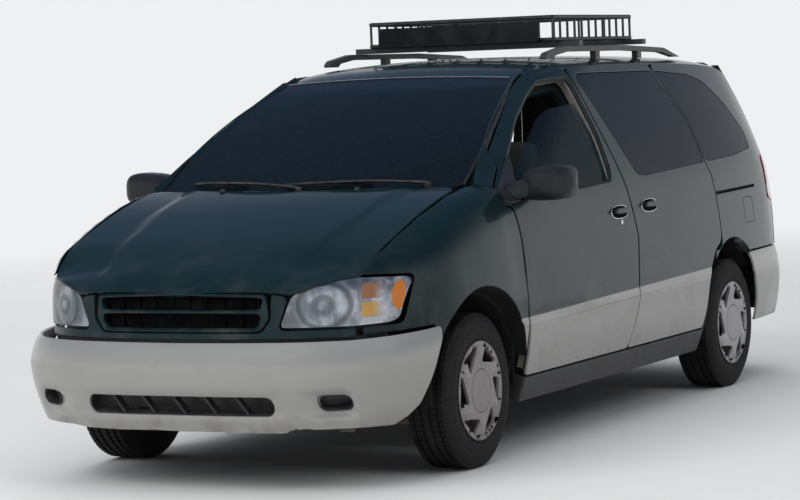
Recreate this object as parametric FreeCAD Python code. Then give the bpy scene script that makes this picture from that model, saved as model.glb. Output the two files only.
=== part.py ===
import FreeCAD, Part
import math
import os

V = FreeCAD.Vector
os.makedirs("parts", exist_ok=True)

# A seven-seat minivan with two hinged front doors, a sliding door on each side, a hood and a liftgate.
# Millimetres. X runs across and +X is the vehicle's left, Y runs to the rear, Z is up from the ground.

# Overall layout
WHEELBASE = 2900.0
FRONT_AXLE_Y = -1500.0
REAR_AXLE_Y = FRONT_AXLE_Y + WHEELBASE
TYRE_RADIUS = 318.0
TYRE_WIDTH = 205.0
RIM_RADIUS = 190.0
FRONT_WHEEL_X = 782.0
REAR_WHEEL_X = 796.0
AXLE_Z = TYRE_RADIUS
ARCH_Z = AXLE_Z + 10.0
FRONT_ARCH_RADIUS = TYRE_RADIUS + 100.0
REAR_ARCH_RADIUS = TYRE_RADIUS + 98.0
LINER_RADIUS = FRONT_ARCH_RADIUS - 22.0
REAR_LINER_RADIUS = REAR_ARCH_RADIUS - 26.0

# Gaps and thicknesses
SHUT_GAP = 6.0
DOOR_FRONT_GAP = 10.0
HINGE_RELIEF = 6.0
SEAT_GAP = 0.3
DOOR_THICKNESS = 60.0
DOOR_EDGE = 12.0
DOOR_STEP = 18.0
FRAME_THICKNESS = 105.0
POCKET_DEPTH = DOOR_THICKNESS + 6.0
NOSE_POCKET = POCKET_DEPTH + 20.0
SKIN = 4.0
GLASS = 5.0
ROOF_THICKNESS = 28.0
HOOD_THICKNESS = 22.0
GATE_THICKNESS = 45.0
LAMP_DEPTH = 70.0
BUMPER_WALL = 14.0

# Body side section: height z, half width x
SIDE_SECTION = [
    (150, 832), (330, 893), (450, 922), (560, 931), (700, 926), (850, 915),
    (1000, 895), (1100, 872), (1250, 815), (1400, 750), (1550, 683), (1700, 610),
]
# Body side plan: station y, inset from the section above
SIDE_PLAN = [
    (-1450, 10), (-1085, 0), (-400, -2), (400, -2), (1000, 0), (1500, 9),
    (1900, 28), (2100, 52), (2250, 96), (2380, 190),
]
# Windshield pillar in the side view: the body side rounds inwards towards the line from its foot to its head
PILLAR_FOOT = (-1283.0, 1147.0)
PILLAR_HEAD = (-425.0, 1590.0)
PILLAR_REACH = 300.0
PILLAR_WRAP = 66.0
BELT_Z = 980.0
SHOULDER_Z = 1200.0
# Hood: station y, height on the centre line, drop at the half width of 740
HOOD_HALF = 740.0
HOOD_PROFILE = [
    (-2440, 752, 62), (-2300, 848, 48), (-2190, 902, 62), (-2050, 960, 26), (-1900, 1012, 18),
    (-1720, 1068, 13), (-1540, 1114, 9), (-1400, 1142, 6), (-1250, 1168, 6),
]
# Roof: station y, height on the centre line
ROOF_PROFILE = [
    (-500, 1578), (-400, 1610), (-280, 1640), (-100, 1662), (200, 1677), (700, 1681),
    (1200, 1675), (1700, 1657), (2000, 1632), (2150, 1610),
]
# Roof crown: x, drop below the centre line
ROOF_CROWN = [(0, 0), (200, 3), (400, 12), (520, 22), (600, 38), (680, 72)]
# Windshield corners: centre line and side edge, each from the cowl to the header, and how far the glass bows
SHIELD_BOW = 26.0
SHIELD_EDGE_BOW = 36.0
SHIELD_BASE = ((0, -1400, 1130), (735, -1283, 1147))
SHIELD_HEAD = ((0, -440, 1600), (572, -415, 1584))
# Nose plan at the lamps: x, y
NOSE_PLAN = [
    (0, -2400), (200, -2394), (390, -2370), (520, -2336), (620, -2287), (714, -2207),
    (785, -2100), (833, -1990), (868, -1860), (892, -1700),
]
# Nose levels: height z, inset from the plan above
NOSE_LEVELS = [(560, 0), (650, 0), (740, 2), (800, 8), (860, 26), (960, 60)]
# Front bumper plan at its crease: x, y
BUMPER_PLAN = [
    (0, -2457), (300, -2448), (560, -2388), (740, -2265), (850, -2110), (905, -1960),
    (925, -1830), (929, -1700),
]
# Front bumper levels: height z, inset from the plan at the crease
BUMPER_LEVELS = [(230, 70), (310, 40), (400, 14), (480, 2), (540, 3), (580, 12), (612, 30)]
# Rear bumper plan at its crease: x, y
REAR_PLAN = [
    (0, 2457.5), (300, 2450), (560, 2425), (720, 2370), (820, 2280), (885, 2150),
    (912, 1980), (924, 1800), (928, 1600),
]
REAR_LEVELS = [(240, 50), (330, 22), (440, 4), (540, 0), (620, 8), (680, 30)]
# Tail profile on the centre line: height z, station y
TAIL_PROFILE = [
    (560, 2432), (760, 2428), (900, 2418), (1050, 2398), (1150, 2366), (1300, 2292),
    (1450, 2206), (1560, 2138), (1650, 2078), (1720, 2030),
]
# Tail plan: x, forward of the centre line
TAIL_PLAN = [(0, 0), (300, 8), (500, 22), (620, 44), (700, 74), (770, 126), (830, 210), (870, 300)]
# Fender sections: station y, then x and z of six points from the hood line to the sill
FENDER_SECTIONS = [
    (-2190, (714, 846), (716, 815), (716, 760), (714, 700), (712, 600), (705, 330)),
    (-2080, (733, 925), (765, 893), (786, 820), (792, 740), (794, 600), (780, 330)),
    (-1950, (741, 976), (798, 938), (836, 860), (846, 760), (850, 600), (835, 330)),
    (-1750, (748, 1048), (820, 1006), (878, 905), (898, 770), (906, 600), (880, 330)),
    (-1500, (750, 1118), (832, 1078), (893, 962), (915, 800), (925, 600), (890, 330)),
    (-1280, (744, 1150), (838, 1122), (896, 985), (919, 800), (930, 600), (892, 330)),
    (-1060, (792, 1210), (850, 1140), (898, 1000), (921, 800), (931, 600), (893, 330)),
]


def interpolate(table, value, column=1):
    """Smooth value of one column of a table at a place along its first column."""
    keys = [row[0] for row in table]
    vals = [row[column] for row in table]
    n = len(keys)
    i = min(max(sum(1 for k in keys if k <= value) - 1, 0), n - 2)
    slopes = []
    for j in (i, i + 1):
        a = max(j - 1, 0)
        b = min(j + 1, n - 1)
        slopes.append((vals[b] - vals[a]) / (keys[b] - keys[a]))
    h = keys[i + 1] - keys[i]
    t = (value - keys[i]) / h
    if t < 0 or t > 1:
        edge = i if t < 0 else i + 1
        return vals[edge] + slopes[0 if t < 0 else 1] * (value - keys[edge])
    a0 = (1 + 2 * t) * (1 - t) ** 2
    a1 = t * (1 - t) ** 2
    b0 = t * t * (3 - 2 * t)
    b1 = t * t * (t - 1)
    return a0 * vals[i] + a1 * h * slopes[0] + b0 * vals[i + 1] + b1 * h * slopes[1]


def pillar_wrap(y, z):
    """How far the body side is drawn in near the windshield pillar, from the belt upwards."""
    run = PILLAR_HEAD[0] - PILLAR_FOOT[0]
    climb = PILLAR_HEAD[1] - PILLAR_FOOT[1]
    behind = ((y - PILLAR_FOOT[0]) * climb - (z - PILLAR_FOOT[1]) * run) / math.hypot(run, climb)
    near = min(max(1 - behind / PILLAR_REACH, 0.0), 1.2)
    rise = min(max((z - BELT_Z) / (SHOULDER_Z - BELT_Z), 0.0), 1.0)
    return PILLAR_WRAP * near * near * rise * rise * (3 - 2 * rise)


def side_x(y, z):
    return interpolate(SIDE_SECTION, z) - interpolate(SIDE_PLAN, y) - pillar_wrap(y, z)


def hood_z(x, y):
    drop = interpolate(HOOD_PROFILE, y, 2)
    return interpolate(HOOD_PROFILE, y) - drop * (x / HOOD_HALF) ** 2


def roof_z(x, y):
    return interpolate(ROOF_PROFILE, y) - interpolate(ROOF_CROWN, abs(x))


def tail_y(x, z):
    return interpolate(TAIL_PROFILE, z) - interpolate(TAIL_PLAN, abs(x))


def surface(grid):
    """Face through a grid of points."""
    sheet = Part.BSplineSurface()
    sheet.interpolate(grid)
    return sheet.toShape()


def normal(grid, i, j):
    rows = len(grid)
    cols = len(grid[0])
    du = grid[min(i + 1, rows - 1)][j] - grid[max(i - 1, 0)][j]
    dv = grid[i][min(j + 1, cols - 1)] - grid[i][max(j - 1, 0)]
    n = du.cross(dv)
    n.normalize()
    return n


def offset_grid(grid, distance):
    return [[grid[i][j] + normal(grid, i, j) * distance for j in range(len(grid[0]))] for i in range(len(grid))]


def skin(grid, near, far, inside):
    """Closed wall between two offsets of a grid, measured towards a point inside the body."""
    mid = grid[len(grid) // 2][len(grid[0]) // 2]
    n = normal(grid, len(grid) // 2, len(grid[0]) // 2)
    sign = 1 if n.dot(inside - mid) > 0 else -1
    outer = surface(offset_grid(grid, sign * near))
    inner = surface(offset_grid(grid, sign * far))
    sides = [Part.makeRuledSurface(a, b) for a, b in zip(outer.Edges, inner.Edges)]
    shell = Part.Shell([outer, inner] + sides)
    shell.sewShape()
    solid = Part.Solid(shell)
    if solid.Volume < 0:
        solid.reverse()
    return solid


def spaced(a, b, count):
    return [a + (b - a) * i / (count - 1) for i in range(count)]


def outline(points, radius=0.0):
    """Closed loop of flat points (a, b) with its corners rounded; a third number overrides the radius."""
    loop = []
    n = len(points)
    corners = []
    for i in range(n):
        p0 = V(points[i - 1][0], points[i - 1][1], 0)
        p1 = V(points[i][0], points[i][1], 0)
        p2 = V(points[(i + 1) % n][0], points[(i + 1) % n][1], 0)
        r = points[i][2] if len(points[i]) > 2 else radius
        a = p0 - p1
        b = p2 - p1
        turn = math.pi - a.getAngle(b)
        if r <= 0 or turn < 0.02:
            corners.append((p1, None, p1))
            continue
        t = min(r * math.tan(turn / 2), 0.45 * a.Length, 0.45 * b.Length)
        r = t / math.tan(turn / 2)
        a.normalize()
        b.normalize()
        bis = a + b
        bis.normalize()
        middle = p1 + bis * (r / math.cos(turn / 2) - r)
        corners.append((p1 + a * t, middle, p1 + b * t))
    for i in range(n):
        start, middle, end = corners[i]
        if middle is not None:
            loop.append(Part.Arc(start, middle, end).toShape())
        following = corners[(i + 1) % n][0]
        if (following - end).Length > 1e-6:
            loop.append(Part.LineSegment(end, following).toShape())
    return Part.Wire(loop)


def placed(wire, plane, level):
    """Move a flat wire from XY into the plane whose normal is named."""
    turned = wire.copy()
    if plane == "x":
        turned.transformShape(FreeCAD.Matrix(0, 0, 1, level, 1, 0, 0, 0, 0, 1, 0, 0, 0, 0, 0, 1))
    elif plane == "y":
        turned.transformShape(FreeCAD.Matrix(1, 0, 0, 0, 0, 0, 1, level, 0, 1, 0, 0, 0, 0, 0, 1))
    else:
        turned.translate(V(0, 0, level))
    return turned


def prism(wire, plane, start, end):
    face = Part.Face(placed(wire, plane, start))
    along = {"x": V(1, 0, 0), "y": V(0, 1, 0), "z": V(0, 0, 1)}[plane]
    return face.extrude(along * (end - start))


# Spans that the side, nose, bumper and tail outlines are cut through
SIDE_SPAN = (300.0, 1100.0)
FENDER_SPAN = (500.0, 1100.0)
NOSE_SPAN = (-2600.0, -2100.0)
BUMPER_SPAN = (-2600.0, -2200.0)
TAIL_SPAN = (1800.0, 2500.0)
FULL_WIDTH = (-1000.0, 1000.0)


def through_side(wire):
    return prism(wire, "x", *SIDE_SPAN)


def through_fender(wire):
    return prism(wire, "x", *FENDER_SPAN)


def through_nose(wire):
    return prism(wire, "y", *NOSE_SPAN)


def through_bumper(wire):
    return prism(wire, "y", *BUMPER_SPAN)


def through_tail(wire):
    return prism(wire, "y", *TAIL_SPAN)


def right_across(wire):
    return prism(wire, "x", *FULL_WIDTH)


def grown(wire, distance):
    return wire.makeOffset2D(distance) if distance else wire


def box(x0, x1, y0, y1, z0, z1):
    return Part.makeBox(x1 - x0, y1 - y0, z1 - z0, V(x0, y0, z0))


def rod(start, end, radius):
    run = V(*end) - V(*start)
    return Part.makeCylinder(radius, run.Length, V(*start), run)


def mirrored(shape):
    return shape.mirror(V(0, 0, 0), V(1, 0, 0))


def fused(shapes):
    return shapes[0].multiFuse(shapes[1:]).removeSplitter() if len(shapes) > 1 else shapes[0]


NODES = {}


def keep(name, shape):
    NODES[name] = shape
    shape.exportStep("parts/" + name + ".step")


# Reference grids
INSIDE = V(0, 0, 800)
SIDE_YS = [
    -1350, -1250, -1150, -1050, -950, -850, -750, -650, -550, -450, -350, -250, -120, 60, 400, 800, 1200, 1500,
    1750, 1950, 2100, 2220, 2330,
]
SIDE_ZS = [170, 250, 330, 420, 500, 560, 640, 740, 850, 960, 1060, 1130, 1220, 1330, 1440, 1550, 1650, 1740]
SIDE_GRID = [[V(side_x(y, z), y, z) for z in SIDE_ZS] for y in SIDE_YS]
side_bulk = skin(SIDE_GRID, 0, FRAME_THICKNESS, INSIDE)
side_pocket = skin(SIDE_GRID, -12, POCKET_DEPTH, INSIDE)
side_door = skin(SIDE_GRID, 0, DOOR_THICKNESS, INSIDE)
side_pan = skin(SIDE_GRID, DOOR_EDGE, DOOR_THICKNESS + 20, INSIDE)
side_nose = skin(SIDE_GRID, -12, NOSE_POCKET, INSIDE)
side_glass_sheet = skin(SIDE_GRID, 24, 24 + GLASS, INSIDE)
side_flush_sheet = skin(SIDE_GRID, 1, 1 + GLASS, INSIDE)

# Outlines in the side view: y, z, corner radius
FRONT_DOOR = [
    (-1087, 332, 20), (-1087, 905, 90), (-1112, 1052, 30), (-1184, 1064, 20), (-1180, 1128, 25), (-1046, 1206, 40),
    (-1026, 1280, 20), (-826, 1386, 300), (-601, 1505, 300), (-458, 1568, 200), (-300, 1618, 200), (0, 1628, 60),
    (163, 840, 60), (113, 563, 200), (20, 332, 20),
]
FRONT_WINDOW = [
    (-1012, 1086, 20), (-1012, 1200, 30), (-677, 1401, 300), (-457, 1505, 200), (-290, 1566, 120), (-17, 1578, 30),
    (27, 1330, 300), (8, 1150, 60), (-30, 1098, 40), (-356, 1085, 90),
]
SLIDING_DOOR = [
    (28, 332, 20), (121, 563, 200), (171, 840, 60), (8, 1628, 40), (1000, 1618, 40), (1200, 1330, 120),
    (1197, 1125, 20), (1222, 1060, 40), (1240, 740, 120), (1140, 700, 120), (1010, 560, 200), (984, 332, 20),
]
SLIDING_GLASS = [
    (52, 1592, 40), (993, 1588, 30), (1187, 1326, 120), (1184, 1132, 30), (400, 1106, 40), (300, 1112, 60),
    (248, 1190, 60),
]
QUARTER_GLASS = [
    (1022, 1588, 20), (1460, 1562, 200), (1650, 1523, 120), (1830, 1410, 160), (1965, 1255, 80),
    (1951, 1170, 40), (1619, 1143, 200), (1214, 1132, 30), (1217, 1326, 120),
]

front_door_wire = outline(FRONT_DOOR)
sliding_door_wire = outline(SLIDING_DOOR)
front_arch = rod((560, FRONT_AXLE_Y, ARCH_Z), (1160, FRONT_AXLE_Y, ARCH_Z), FRONT_ARCH_RADIUS)
rear_arch = rod((560, REAR_AXLE_Y, ARCH_Z), (1160, REAR_AXLE_Y, ARCH_Z), REAR_ARCH_RADIUS)

# Windshield
def shield_point(u, t):
    base_c, base_e = (V(*p) for p in SHIELD_BASE)
    head_c, head_e = (V(*p) for p in SHIELD_HEAD)
    c = base_c + (head_c - base_c) * t
    e = base_e + (head_e - base_e) * t
    p = c + (e - c) * (u * u)
    p.x = u * (e.x + SHIELD_EDGE_BOW * 4 * t * (1 - t))
    bow = SHIELD_BOW * 4 * t * (1 - t)
    return p + V(0, -0.42 * bow, 0.9 * bow)


SHIELD_GRID = [[shield_point(u, t) for u in spaced(-1, 1, 9)] for t in spaced(-0.02, 1.02, 6)]
keep("windshield", skin(SHIELD_GRID, 0, GLASS + 1, INSIDE))
SEAT_GRID = [[shield_point(u, t) for u in spaced(-1.001, 1.001, 9)] for t in spaced(-0.022, 1.022, 6)]
shield_seat = skin(SEAT_GRID, -90, GLASS + 1 + SEAT_GAP, INSIDE)
CLEAR_GRID = [[shield_point(u, t) for u in spaced(-1.02, 1.02, 9)] for t in spaced(-0.04, 1.04, 6)]
shield_clear = skin(CLEAR_GRID, -90, GLASS + 1 + SHUT_GAP, INSIDE)

# Side frames: pillars, roof rails, sills and rear quarters
frame_wire = outline([
    (-1130, 205), (-1130, 900, 60), (-1160, 1090, 30), (-1283, 1150, 10), (-1074, 1282, 300), (-860, 1397, 300),
    (-640, 1502, 300), (-425, 1596, 60), (-250, 1650), (2030, 1650), (2330, 1150), (2345, 655), (1640, 655),
    (1100, 600), (1000, 205),
])
aperture_front = outline([
    (-1040, 330, 60), (-1040, 900, 90), (-980, 1190, 60), (-660, 1390, 240), (-310, 1542, 160), (-40, 1560, 60),
    (60, 1100, 60), (100, 840, 60), (50, 563, 200), (-30, 330, 60),
])
aperture_slide = outline([
    (110, 330, 60), (180, 563, 200), (225, 840, 60), (97, 1556, 40), (948, 1552, 40),
    (1130, 1320, 120), (1150, 1060, 40), (1150, 760, 100), (1080, 700, 120), (950, 560, 200), (930, 330, 60),
])
side_wall = side_bulk.common(through_side(frame_wire))
frame = side_wall
both_doors = fused([
    through_side(grown(front_door_wire, DOOR_FRONT_GAP)),
    through_side(grown(sliding_door_wire, SHUT_GAP)),
])
frame = frame.cut(side_pocket.common(both_doors))
# The door's front edge and nose swing inwards here, so the pocket is deeper and reaches further forward
hinge_pocket = side_nose.common(through_side(grown(front_door_wire, DOOR_FRONT_GAP + HINGE_RELIEF)))
frame = frame.cut(hinge_pocket.common(box(*SIDE_SPAN, -1300, -1000, 345, 1330)))
frame = frame.cut(through_side(aperture_front))
frame = frame.cut(through_side(aperture_slide))
frame = frame.cut(through_side(grown(outline(QUARTER_GLASS), SEAT_GAP)))
frame = frame.cut(rear_arch)
frame = frame.cut(shield_seat)

door_rim = through_side(grown(front_door_wire, 40)).cut(through_side(grown(front_door_wire, -DOOR_STEP)))
door = side_door.common(through_side(front_door_wire))
door = door.cut(through_side(outline(FRONT_WINDOW))).cut(side_pan.common(door_rim)).cut(shield_clear)
door = max(door.Solids, key=lambda s: s.Volume)
# Pull handles: an oval plate with the lever standing proud of it, at their centre y and z
HANDLES = [(-19, 957), (344, 967)]
HANDLE_PLATE = (95.0, 31.0, 3.0)
HANDLE_LEVER = (82.0, 15.0, 24.0)


def handle(centre):
    parts = []
    for half_length, half_height, proud in (HANDLE_PLATE, HANDLE_LEVER):
        y, z = centre
        ring = outline([(y - half_length, z - half_height), (y - half_length, z + half_height),
                        (y + half_length, z + half_height), (y + half_length, z - half_height)], half_height * 0.9)
        parts.append(skin(SIDE_GRID, -proud, 4, INSIDE).common(through_side(ring)))
    return parts


door = fused([door] + handle(HANDLES[0]))
keep("door_left", door)
slide = side_door.common(through_side(sliding_door_wire))
slide = slide.cut(through_side(grown(outline(SLIDING_GLASS), SEAT_GAP)))
slide = fused([slide] + handle(HANDLES[1]))
keep("sliding_doors", Part.makeCompound([slide, mirrored(slide)]))

# Roof panel with the windshield header at its front edge
ROOF_XS = [-680, -600, -500, -350, -180, 0, 180, 350, 500, 600, 680]
ROOF_YS = [-470, -400, -330, -230, -60, 200, 600, 1100, 1600, 1900, 2060]
ROOF_GRID = [[V(x, y, roof_z(x, y)) for x in ROOF_XS] for y in ROOF_YS]
roof_bulk = skin(ROOF_GRID, 0, ROOF_THICKNESS, INSIDE)
ROOF_HALF = 596.0
roof_wire = outline([
    (-560, -414), (0, -436), (560, -414), (ROOF_HALF, -330, 20), (ROOF_HALF, 1960), (560, 2026, 30), (0, 2054),
    (-560, 2026, 30), (-ROOF_HALF, 1960), (-ROOF_HALF, -330, 20),
])
roof = roof_bulk.common(prism(roof_wire, "z", 1400, 1800))
roof = roof.cut(side_wall).cut(mirrored(side_wall)).cut(shield_seat)
roof = max(roof.Solids, key=lambda s: s.Volume)
keep("roof", roof)

# Fenders
FENDER_GRID = [[V(p[0], row[0], p[1]) for p in row[1:]] for row in FENDER_SECTIONS]
FENDER_GRID[-1][1:] = [V(side_x(p.y, p.z), p.y, p.z) for p in FENDER_GRID[-1][1:]]
fender_wire = outline([
    (-2200, 606), (-2200, 852), (-2080, 925, 40), (-1950, 985), (-1750, 1060), (-1500, 1130), (-1290, 1160),
    (-1194, 1128, 12), (-1194, 1052, 14), (-1122, 1040, 30), (-1097, 905, 90), (-1097, 205), (-1880, 205),
    (-1880, 606),
])
fender = skin(FENDER_GRID, 0, SKIN, INSIDE).common(through_fender(fender_wire))
fender = fender.cut(front_arch)

# Nose panel with the grille opening between the lamps
def wrapped_grid(plan, levels, sense):
    """Grid that wraps a plan curve round the body from the right side to the left, level by level."""
    curve = [V(-x, y, 0) for (x, y) in reversed(plan[1:])] + [V(x, y, 0) for (x, y) in plan]
    grid = []
    for (z, inset) in levels:
        row = []
        for i in range(len(curve)):
            along = curve[min(i + 1, len(curve) - 1)] - curve[max(i - 1, 0)]
            inward = V(-along.y, along.x, 0)
            inward.normalize()
            row.append(curve[i] + inward * (inset * sense) + V(0, 0, z))
        grid.append(row)
    return grid


NOSE_GRID = wrapped_grid(NOSE_PLAN, NOSE_LEVELS, 1)
nose_bulk = skin(NOSE_GRID, 0, LAMP_DEPTH, INSIDE)
nose_thin = skin(NOSE_GRID, 0, 24, INSIDE)
HOOD_XS = [-860, -740, -600, -450, -250, 0, 250, 450, 600, 740, 860]
HOOD_GRID = [[V(x, row[0], hood_z(x, row[0])) for x in HOOD_XS] for row in HOOD_PROFILE]
hood_face = surface(HOOD_GRID)
above_hood = hood_face.extrude(V(0, 0, 500))
# Hood outline from above, on its left side: x, y, corner radius
HOOD_EDGE = [
    (386, -2362, 40), (486, -2354, 20), (530, -2335), (612, -2284), (709, -2190, 14), (728, -2130), (740, -2000),
    (745, -1800), (746, -1500), (740, -1330, 60), (560, -1372, 80),
]
hood_wire = outline([
    (0, -2392), *HOOD_EDGE, (0, -1430), *[(-row[0], *row[1:]) for row in reversed(HOOD_EDGE)],
])
hood_void = above_hood.translated(V(0, 0, -HOOD_THICKNESS - SHUT_GAP)).common(prism(hood_wire, "z", 500, 1600))

# Headlamps with their turn signals, one lens body on each side
lamp_wire = outline([
    (436, 652, 12), (484, 778, 60), (530, 806, 60), (612, 828, 60), (714, 843, 30), (838, 833, 20), (812, 655, 30),
    (707, 650),
])
lamp_prism = prism(lamp_wire, "y", -2600, -1980)
lamp = nose_bulk.common(lamp_prism).cut(hood_void)
lamp = max(lamp.Solids, key=lambda s: s.Volume)
lamp_cut = prism(grown(lamp_wire, SEAT_GAP), "y", -2600, -1975)
fender = fender.cut(lamp_cut)
nose_front = nose_thin.common(box(-704, 704, -2600, -2100, 606, 860)).cut(above_hood).cut(hood_void)
nose_front = nose_front.cut(lamp_cut).cut(mirrored(lamp_cut))
grille_wire = outline([
    (-388, 778, 30), (-400, 690, 40), (-362, 642, 30), (362, 642, 30), (400, 690, 40), (388, 778, 30), (0, 792),
])
nose_front = nose_front.cut(through_nose(grown(grille_wire, SEAT_GAP)))
fender_solid = max(fender.Solids, key=lambda s: s.Volume)
keep("fenders", Part.makeCompound([fender_solid, mirrored(fender_solid)]))
keep("headlamps", Part.makeCompound([lamp, mirrored(lamp)]))
keep("nose_panel", Part.makeCompound([s for s in nose_front.Solids if s.Volume > 1e4]))

# Grille: frame with two slots and a bar, with slats deep in each slot
grille = skin(NOSE_GRID, 4, 30, INSIDE).common(through_nose(grille_wire))
grille = grille.cut(hood_void)
slot_top = outline([(-372, 756, 14), (-360, 728, 10), (360, 728, 10), (372, 756, 14), (0, 768)])
slot_low = outline([(-368, 706, 14), (-340, 655, 14), (340, 655, 14), (368, 706, 14), (0, 712)])
grille = grille.cut(through_nose(slot_top)).cut(through_nose(slot_low))
backing = skin(NOSE_GRID, 24, 30, INSIDE).common(through_nose(grown(grille_wire, -6))).cut(hood_void)
grille = fused([grille, backing])
keep("grille", grille)

# Hood
hood = skin(HOOD_GRID, 0, HOOD_THICKNESS, INSIDE).common(prism(grown(hood_wire, -SHUT_GAP), "z", 500, 1400))
keep("hood", hood)

# Front bumper cover
BUMPER_GRID = wrapped_grid(BUMPER_PLAN, BUMPER_LEVELS, 1)
bumper = skin(BUMPER_GRID, 0, BUMPER_WALL, INSIDE)
bumper_side = outline([
    (-2600, 257), (-2138, 257), (-2085, 286), (-2036, 330), (-1999, 419), (-1949, 532), (-1884, 604), (-2245, 604),
    (-2600, 604),
])
bumper = bumper.common(right_across(bumper_side))
intake_wire = outline([(-426, 386, 38), (-426, 310, 38), (426, 310, 38), (426, 386, 38)])
fog_wire = outline([(590, 395, 30), (600, 325, 30), (720, 330, 30), (712, 392, 30)])
for wire in (intake_wire, fog_wire):
    hole = through_bumper(wire)
    bumper = bumper.cut(hole).cut(mirrored(hole))
shelf = skin(BUMPER_GRID, 1, 110, INSIDE).common(right_across(bumper_side))
shelf = shelf.common(box(*FULL_WIDTH, -2600, -1890, 584, 604))
# Slanted ribs across the lower intake, each half as wide as given on either side of its own line, and a cup behind
# each lamp recess
RIB_SPACING = 142.0
RIB_WIDTH = 9.0
RIB_SLANT = 26.0
ribs = []
for i in range(-2, 3):
    x = i * RIB_SPACING
    foot = x + RIB_SLANT
    top = x - RIB_SLANT
    rib = outline([(foot - RIB_WIDTH, 302), (foot + RIB_WIDTH, 302), (top + RIB_WIDTH, 394), (top - RIB_WIDTH, 394)])
    ribs.append(through_bumper(rib))
ribs = skin(BUMPER_GRID, 6, 46, INSIDE).common(Part.makeCompound(ribs))
CUP_DEPTH = 58.0
cup = skin(BUMPER_GRID, 8, CUP_DEPTH + SKIN, INSIDE).common(through_nose(grown(fog_wire, SKIN)))
cup = cup.cut(skin(BUMPER_GRID, -5, CUP_DEPTH, INSIDE).common(through_nose(fog_wire)))
bumper = fused([bumper, shelf, cup, mirrored(cup)] + ribs.Solids)
keep("bumper_front", bumper)

# Liftgate, its glass and the rear corners
TAIL_XS = [-860, -790, -710, -620, -450, -220, 0, 220, 450, 620, 710, 790, 860]
TAIL_GRID = [[V(x, tail_y(x, row[0]), row[0]) for x in TAIL_XS] for row in TAIL_PROFILE]
tail_wire = outline([
    (-716, 668, 30), (716, 668, 30), (722, 1000), (700, 1140, 60), (560, 1628, 60), (-560, 1628, 60),
    (-700, 1140, 60), (-722, 1000),
])
gate_window = outline([(-640, 1150, 50), (640, 1150, 50), (545, 1570, 60), (-545, 1570, 60)])
gate = skin(TAIL_GRID, 0, GATE_THICKNESS, INSIDE).common(through_tail(grown(tail_wire, -3)))
gate = gate.cut(through_tail(grown(gate_window, SEAT_GAP)))
gate = gate.cut(prism(grown(roof_wire, SHUT_GAP), "z", 1500, 1800))
# Flat recess for a registration plate with its two screw holes
PLATE_HOLE_RADIUS = 3.5
PLATE_HOLE_SPACING = 178.0
PLATE_Y = 2408.0
PLATE_Z = 800.0
PLATE_HALF = (205.0, 68.0)
plate_room = box(-PLATE_HALF[0], PLATE_HALF[0], PLATE_Y, 2600, PLATE_Z - PLATE_HALF[1], PLATE_Z + PLATE_HALF[1])
gate = gate.cut(plate_room)
for x in (-PLATE_HOLE_SPACING / 2, PLATE_HOLE_SPACING / 2):
    gate = gate.cut(rod((x, PLATE_Y - GATE_THICKNESS, PLATE_Z), (x, PLATE_Y + 20, PLATE_Z), PLATE_HOLE_RADIUS))
keep("liftgate", gate)
gate_glass = skin(TAIL_GRID, 1, 1 + GLASS, INSIDE).common(through_tail(gate_window))
keep("liftgate_glass", gate_glass)

# Rear quarters end at the tail surface and leave a seat for the liftgate
tail_face = surface(TAIL_GRID)
behind_tail = tail_face.extrude(V(0, 600, 0))
gate_pocket = skin(TAIL_GRID, -30, GATE_THICKNESS + 8, INSIDE).common(
    prism(grown(tail_wire, 3), "y", 1800, 2600))
frame = frame.cut(behind_tail).cut(gate_pocket)
# Groove of the sliding door's centre track
TRACK_WIRE = outline([(1250, 964, 6), (1250, 981, 6), (1838, 989, 6), (1838, 972, 6)])
TRACK_DEPTH = 14.0
frame = frame.cut(skin(SIDE_GRID, -5, TRACK_DEPTH, INSIDE).common(through_side(TRACK_WIRE)))
fender_seat = skin(FENDER_GRID, -30, SKIN + SEAT_GAP, INSIDE)
fender_seat = fender_seat.common(through_fender(grown(fender_wire, SEAT_GAP)))
front_reach = rod((480, FRONT_AXLE_Y, ARCH_Z), (1000, FRONT_AXLE_Y, ARCH_Z), LINER_RADIUS + 3)
frame = frame.cut(fender_seat).cut(front_reach)
# Tail lamp in the rear corner: its front edge, foot and head
LAMP_FRONT_Y = 2215.0
LAMP_FOOT_Z = 868.0
LAMP_HEAD_Z = 1134.0
tail_lamp = frame.common(box(560, 900, LAMP_FRONT_Y, 2500, LAMP_FOOT_Z, LAMP_HEAD_Z))
frame = frame.cut(box(560, 900, LAMP_FRONT_Y - SEAT_GAP, 2500, LAMP_FOOT_Z - SEAT_GAP, LAMP_HEAD_Z + SEAT_GAP))
frame = frame.cut(box(560, 1000, 1600, 2600, 0, 662))
keep("tail_lamps", Part.makeCompound([tail_lamp, mirrored(tail_lamp)]))
frame = max(frame.Solids, key=lambda s: s.Volume)
keep("side_frame_left", frame)
keep("side_frame_right", mirrored(frame))

# Rear bumper cover
REAR_GRID = wrapped_grid(REAR_PLAN, REAR_LEVELS, -1)
rear_side = outline([(2600, 300), (1720, 300), (1716, 400), (1692, 492), (1660, 600), (1640, 659), (2600, 659)])
rear_bumper = skin(REAR_GRID, 0, BUMPER_WALL, INSIDE).common(right_across(rear_side))
rear_bumper = rear_bumper.cut(rear_arch).cut(mirrored(rear_arch))
keep("bumper_rear", rear_bumper)

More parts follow.
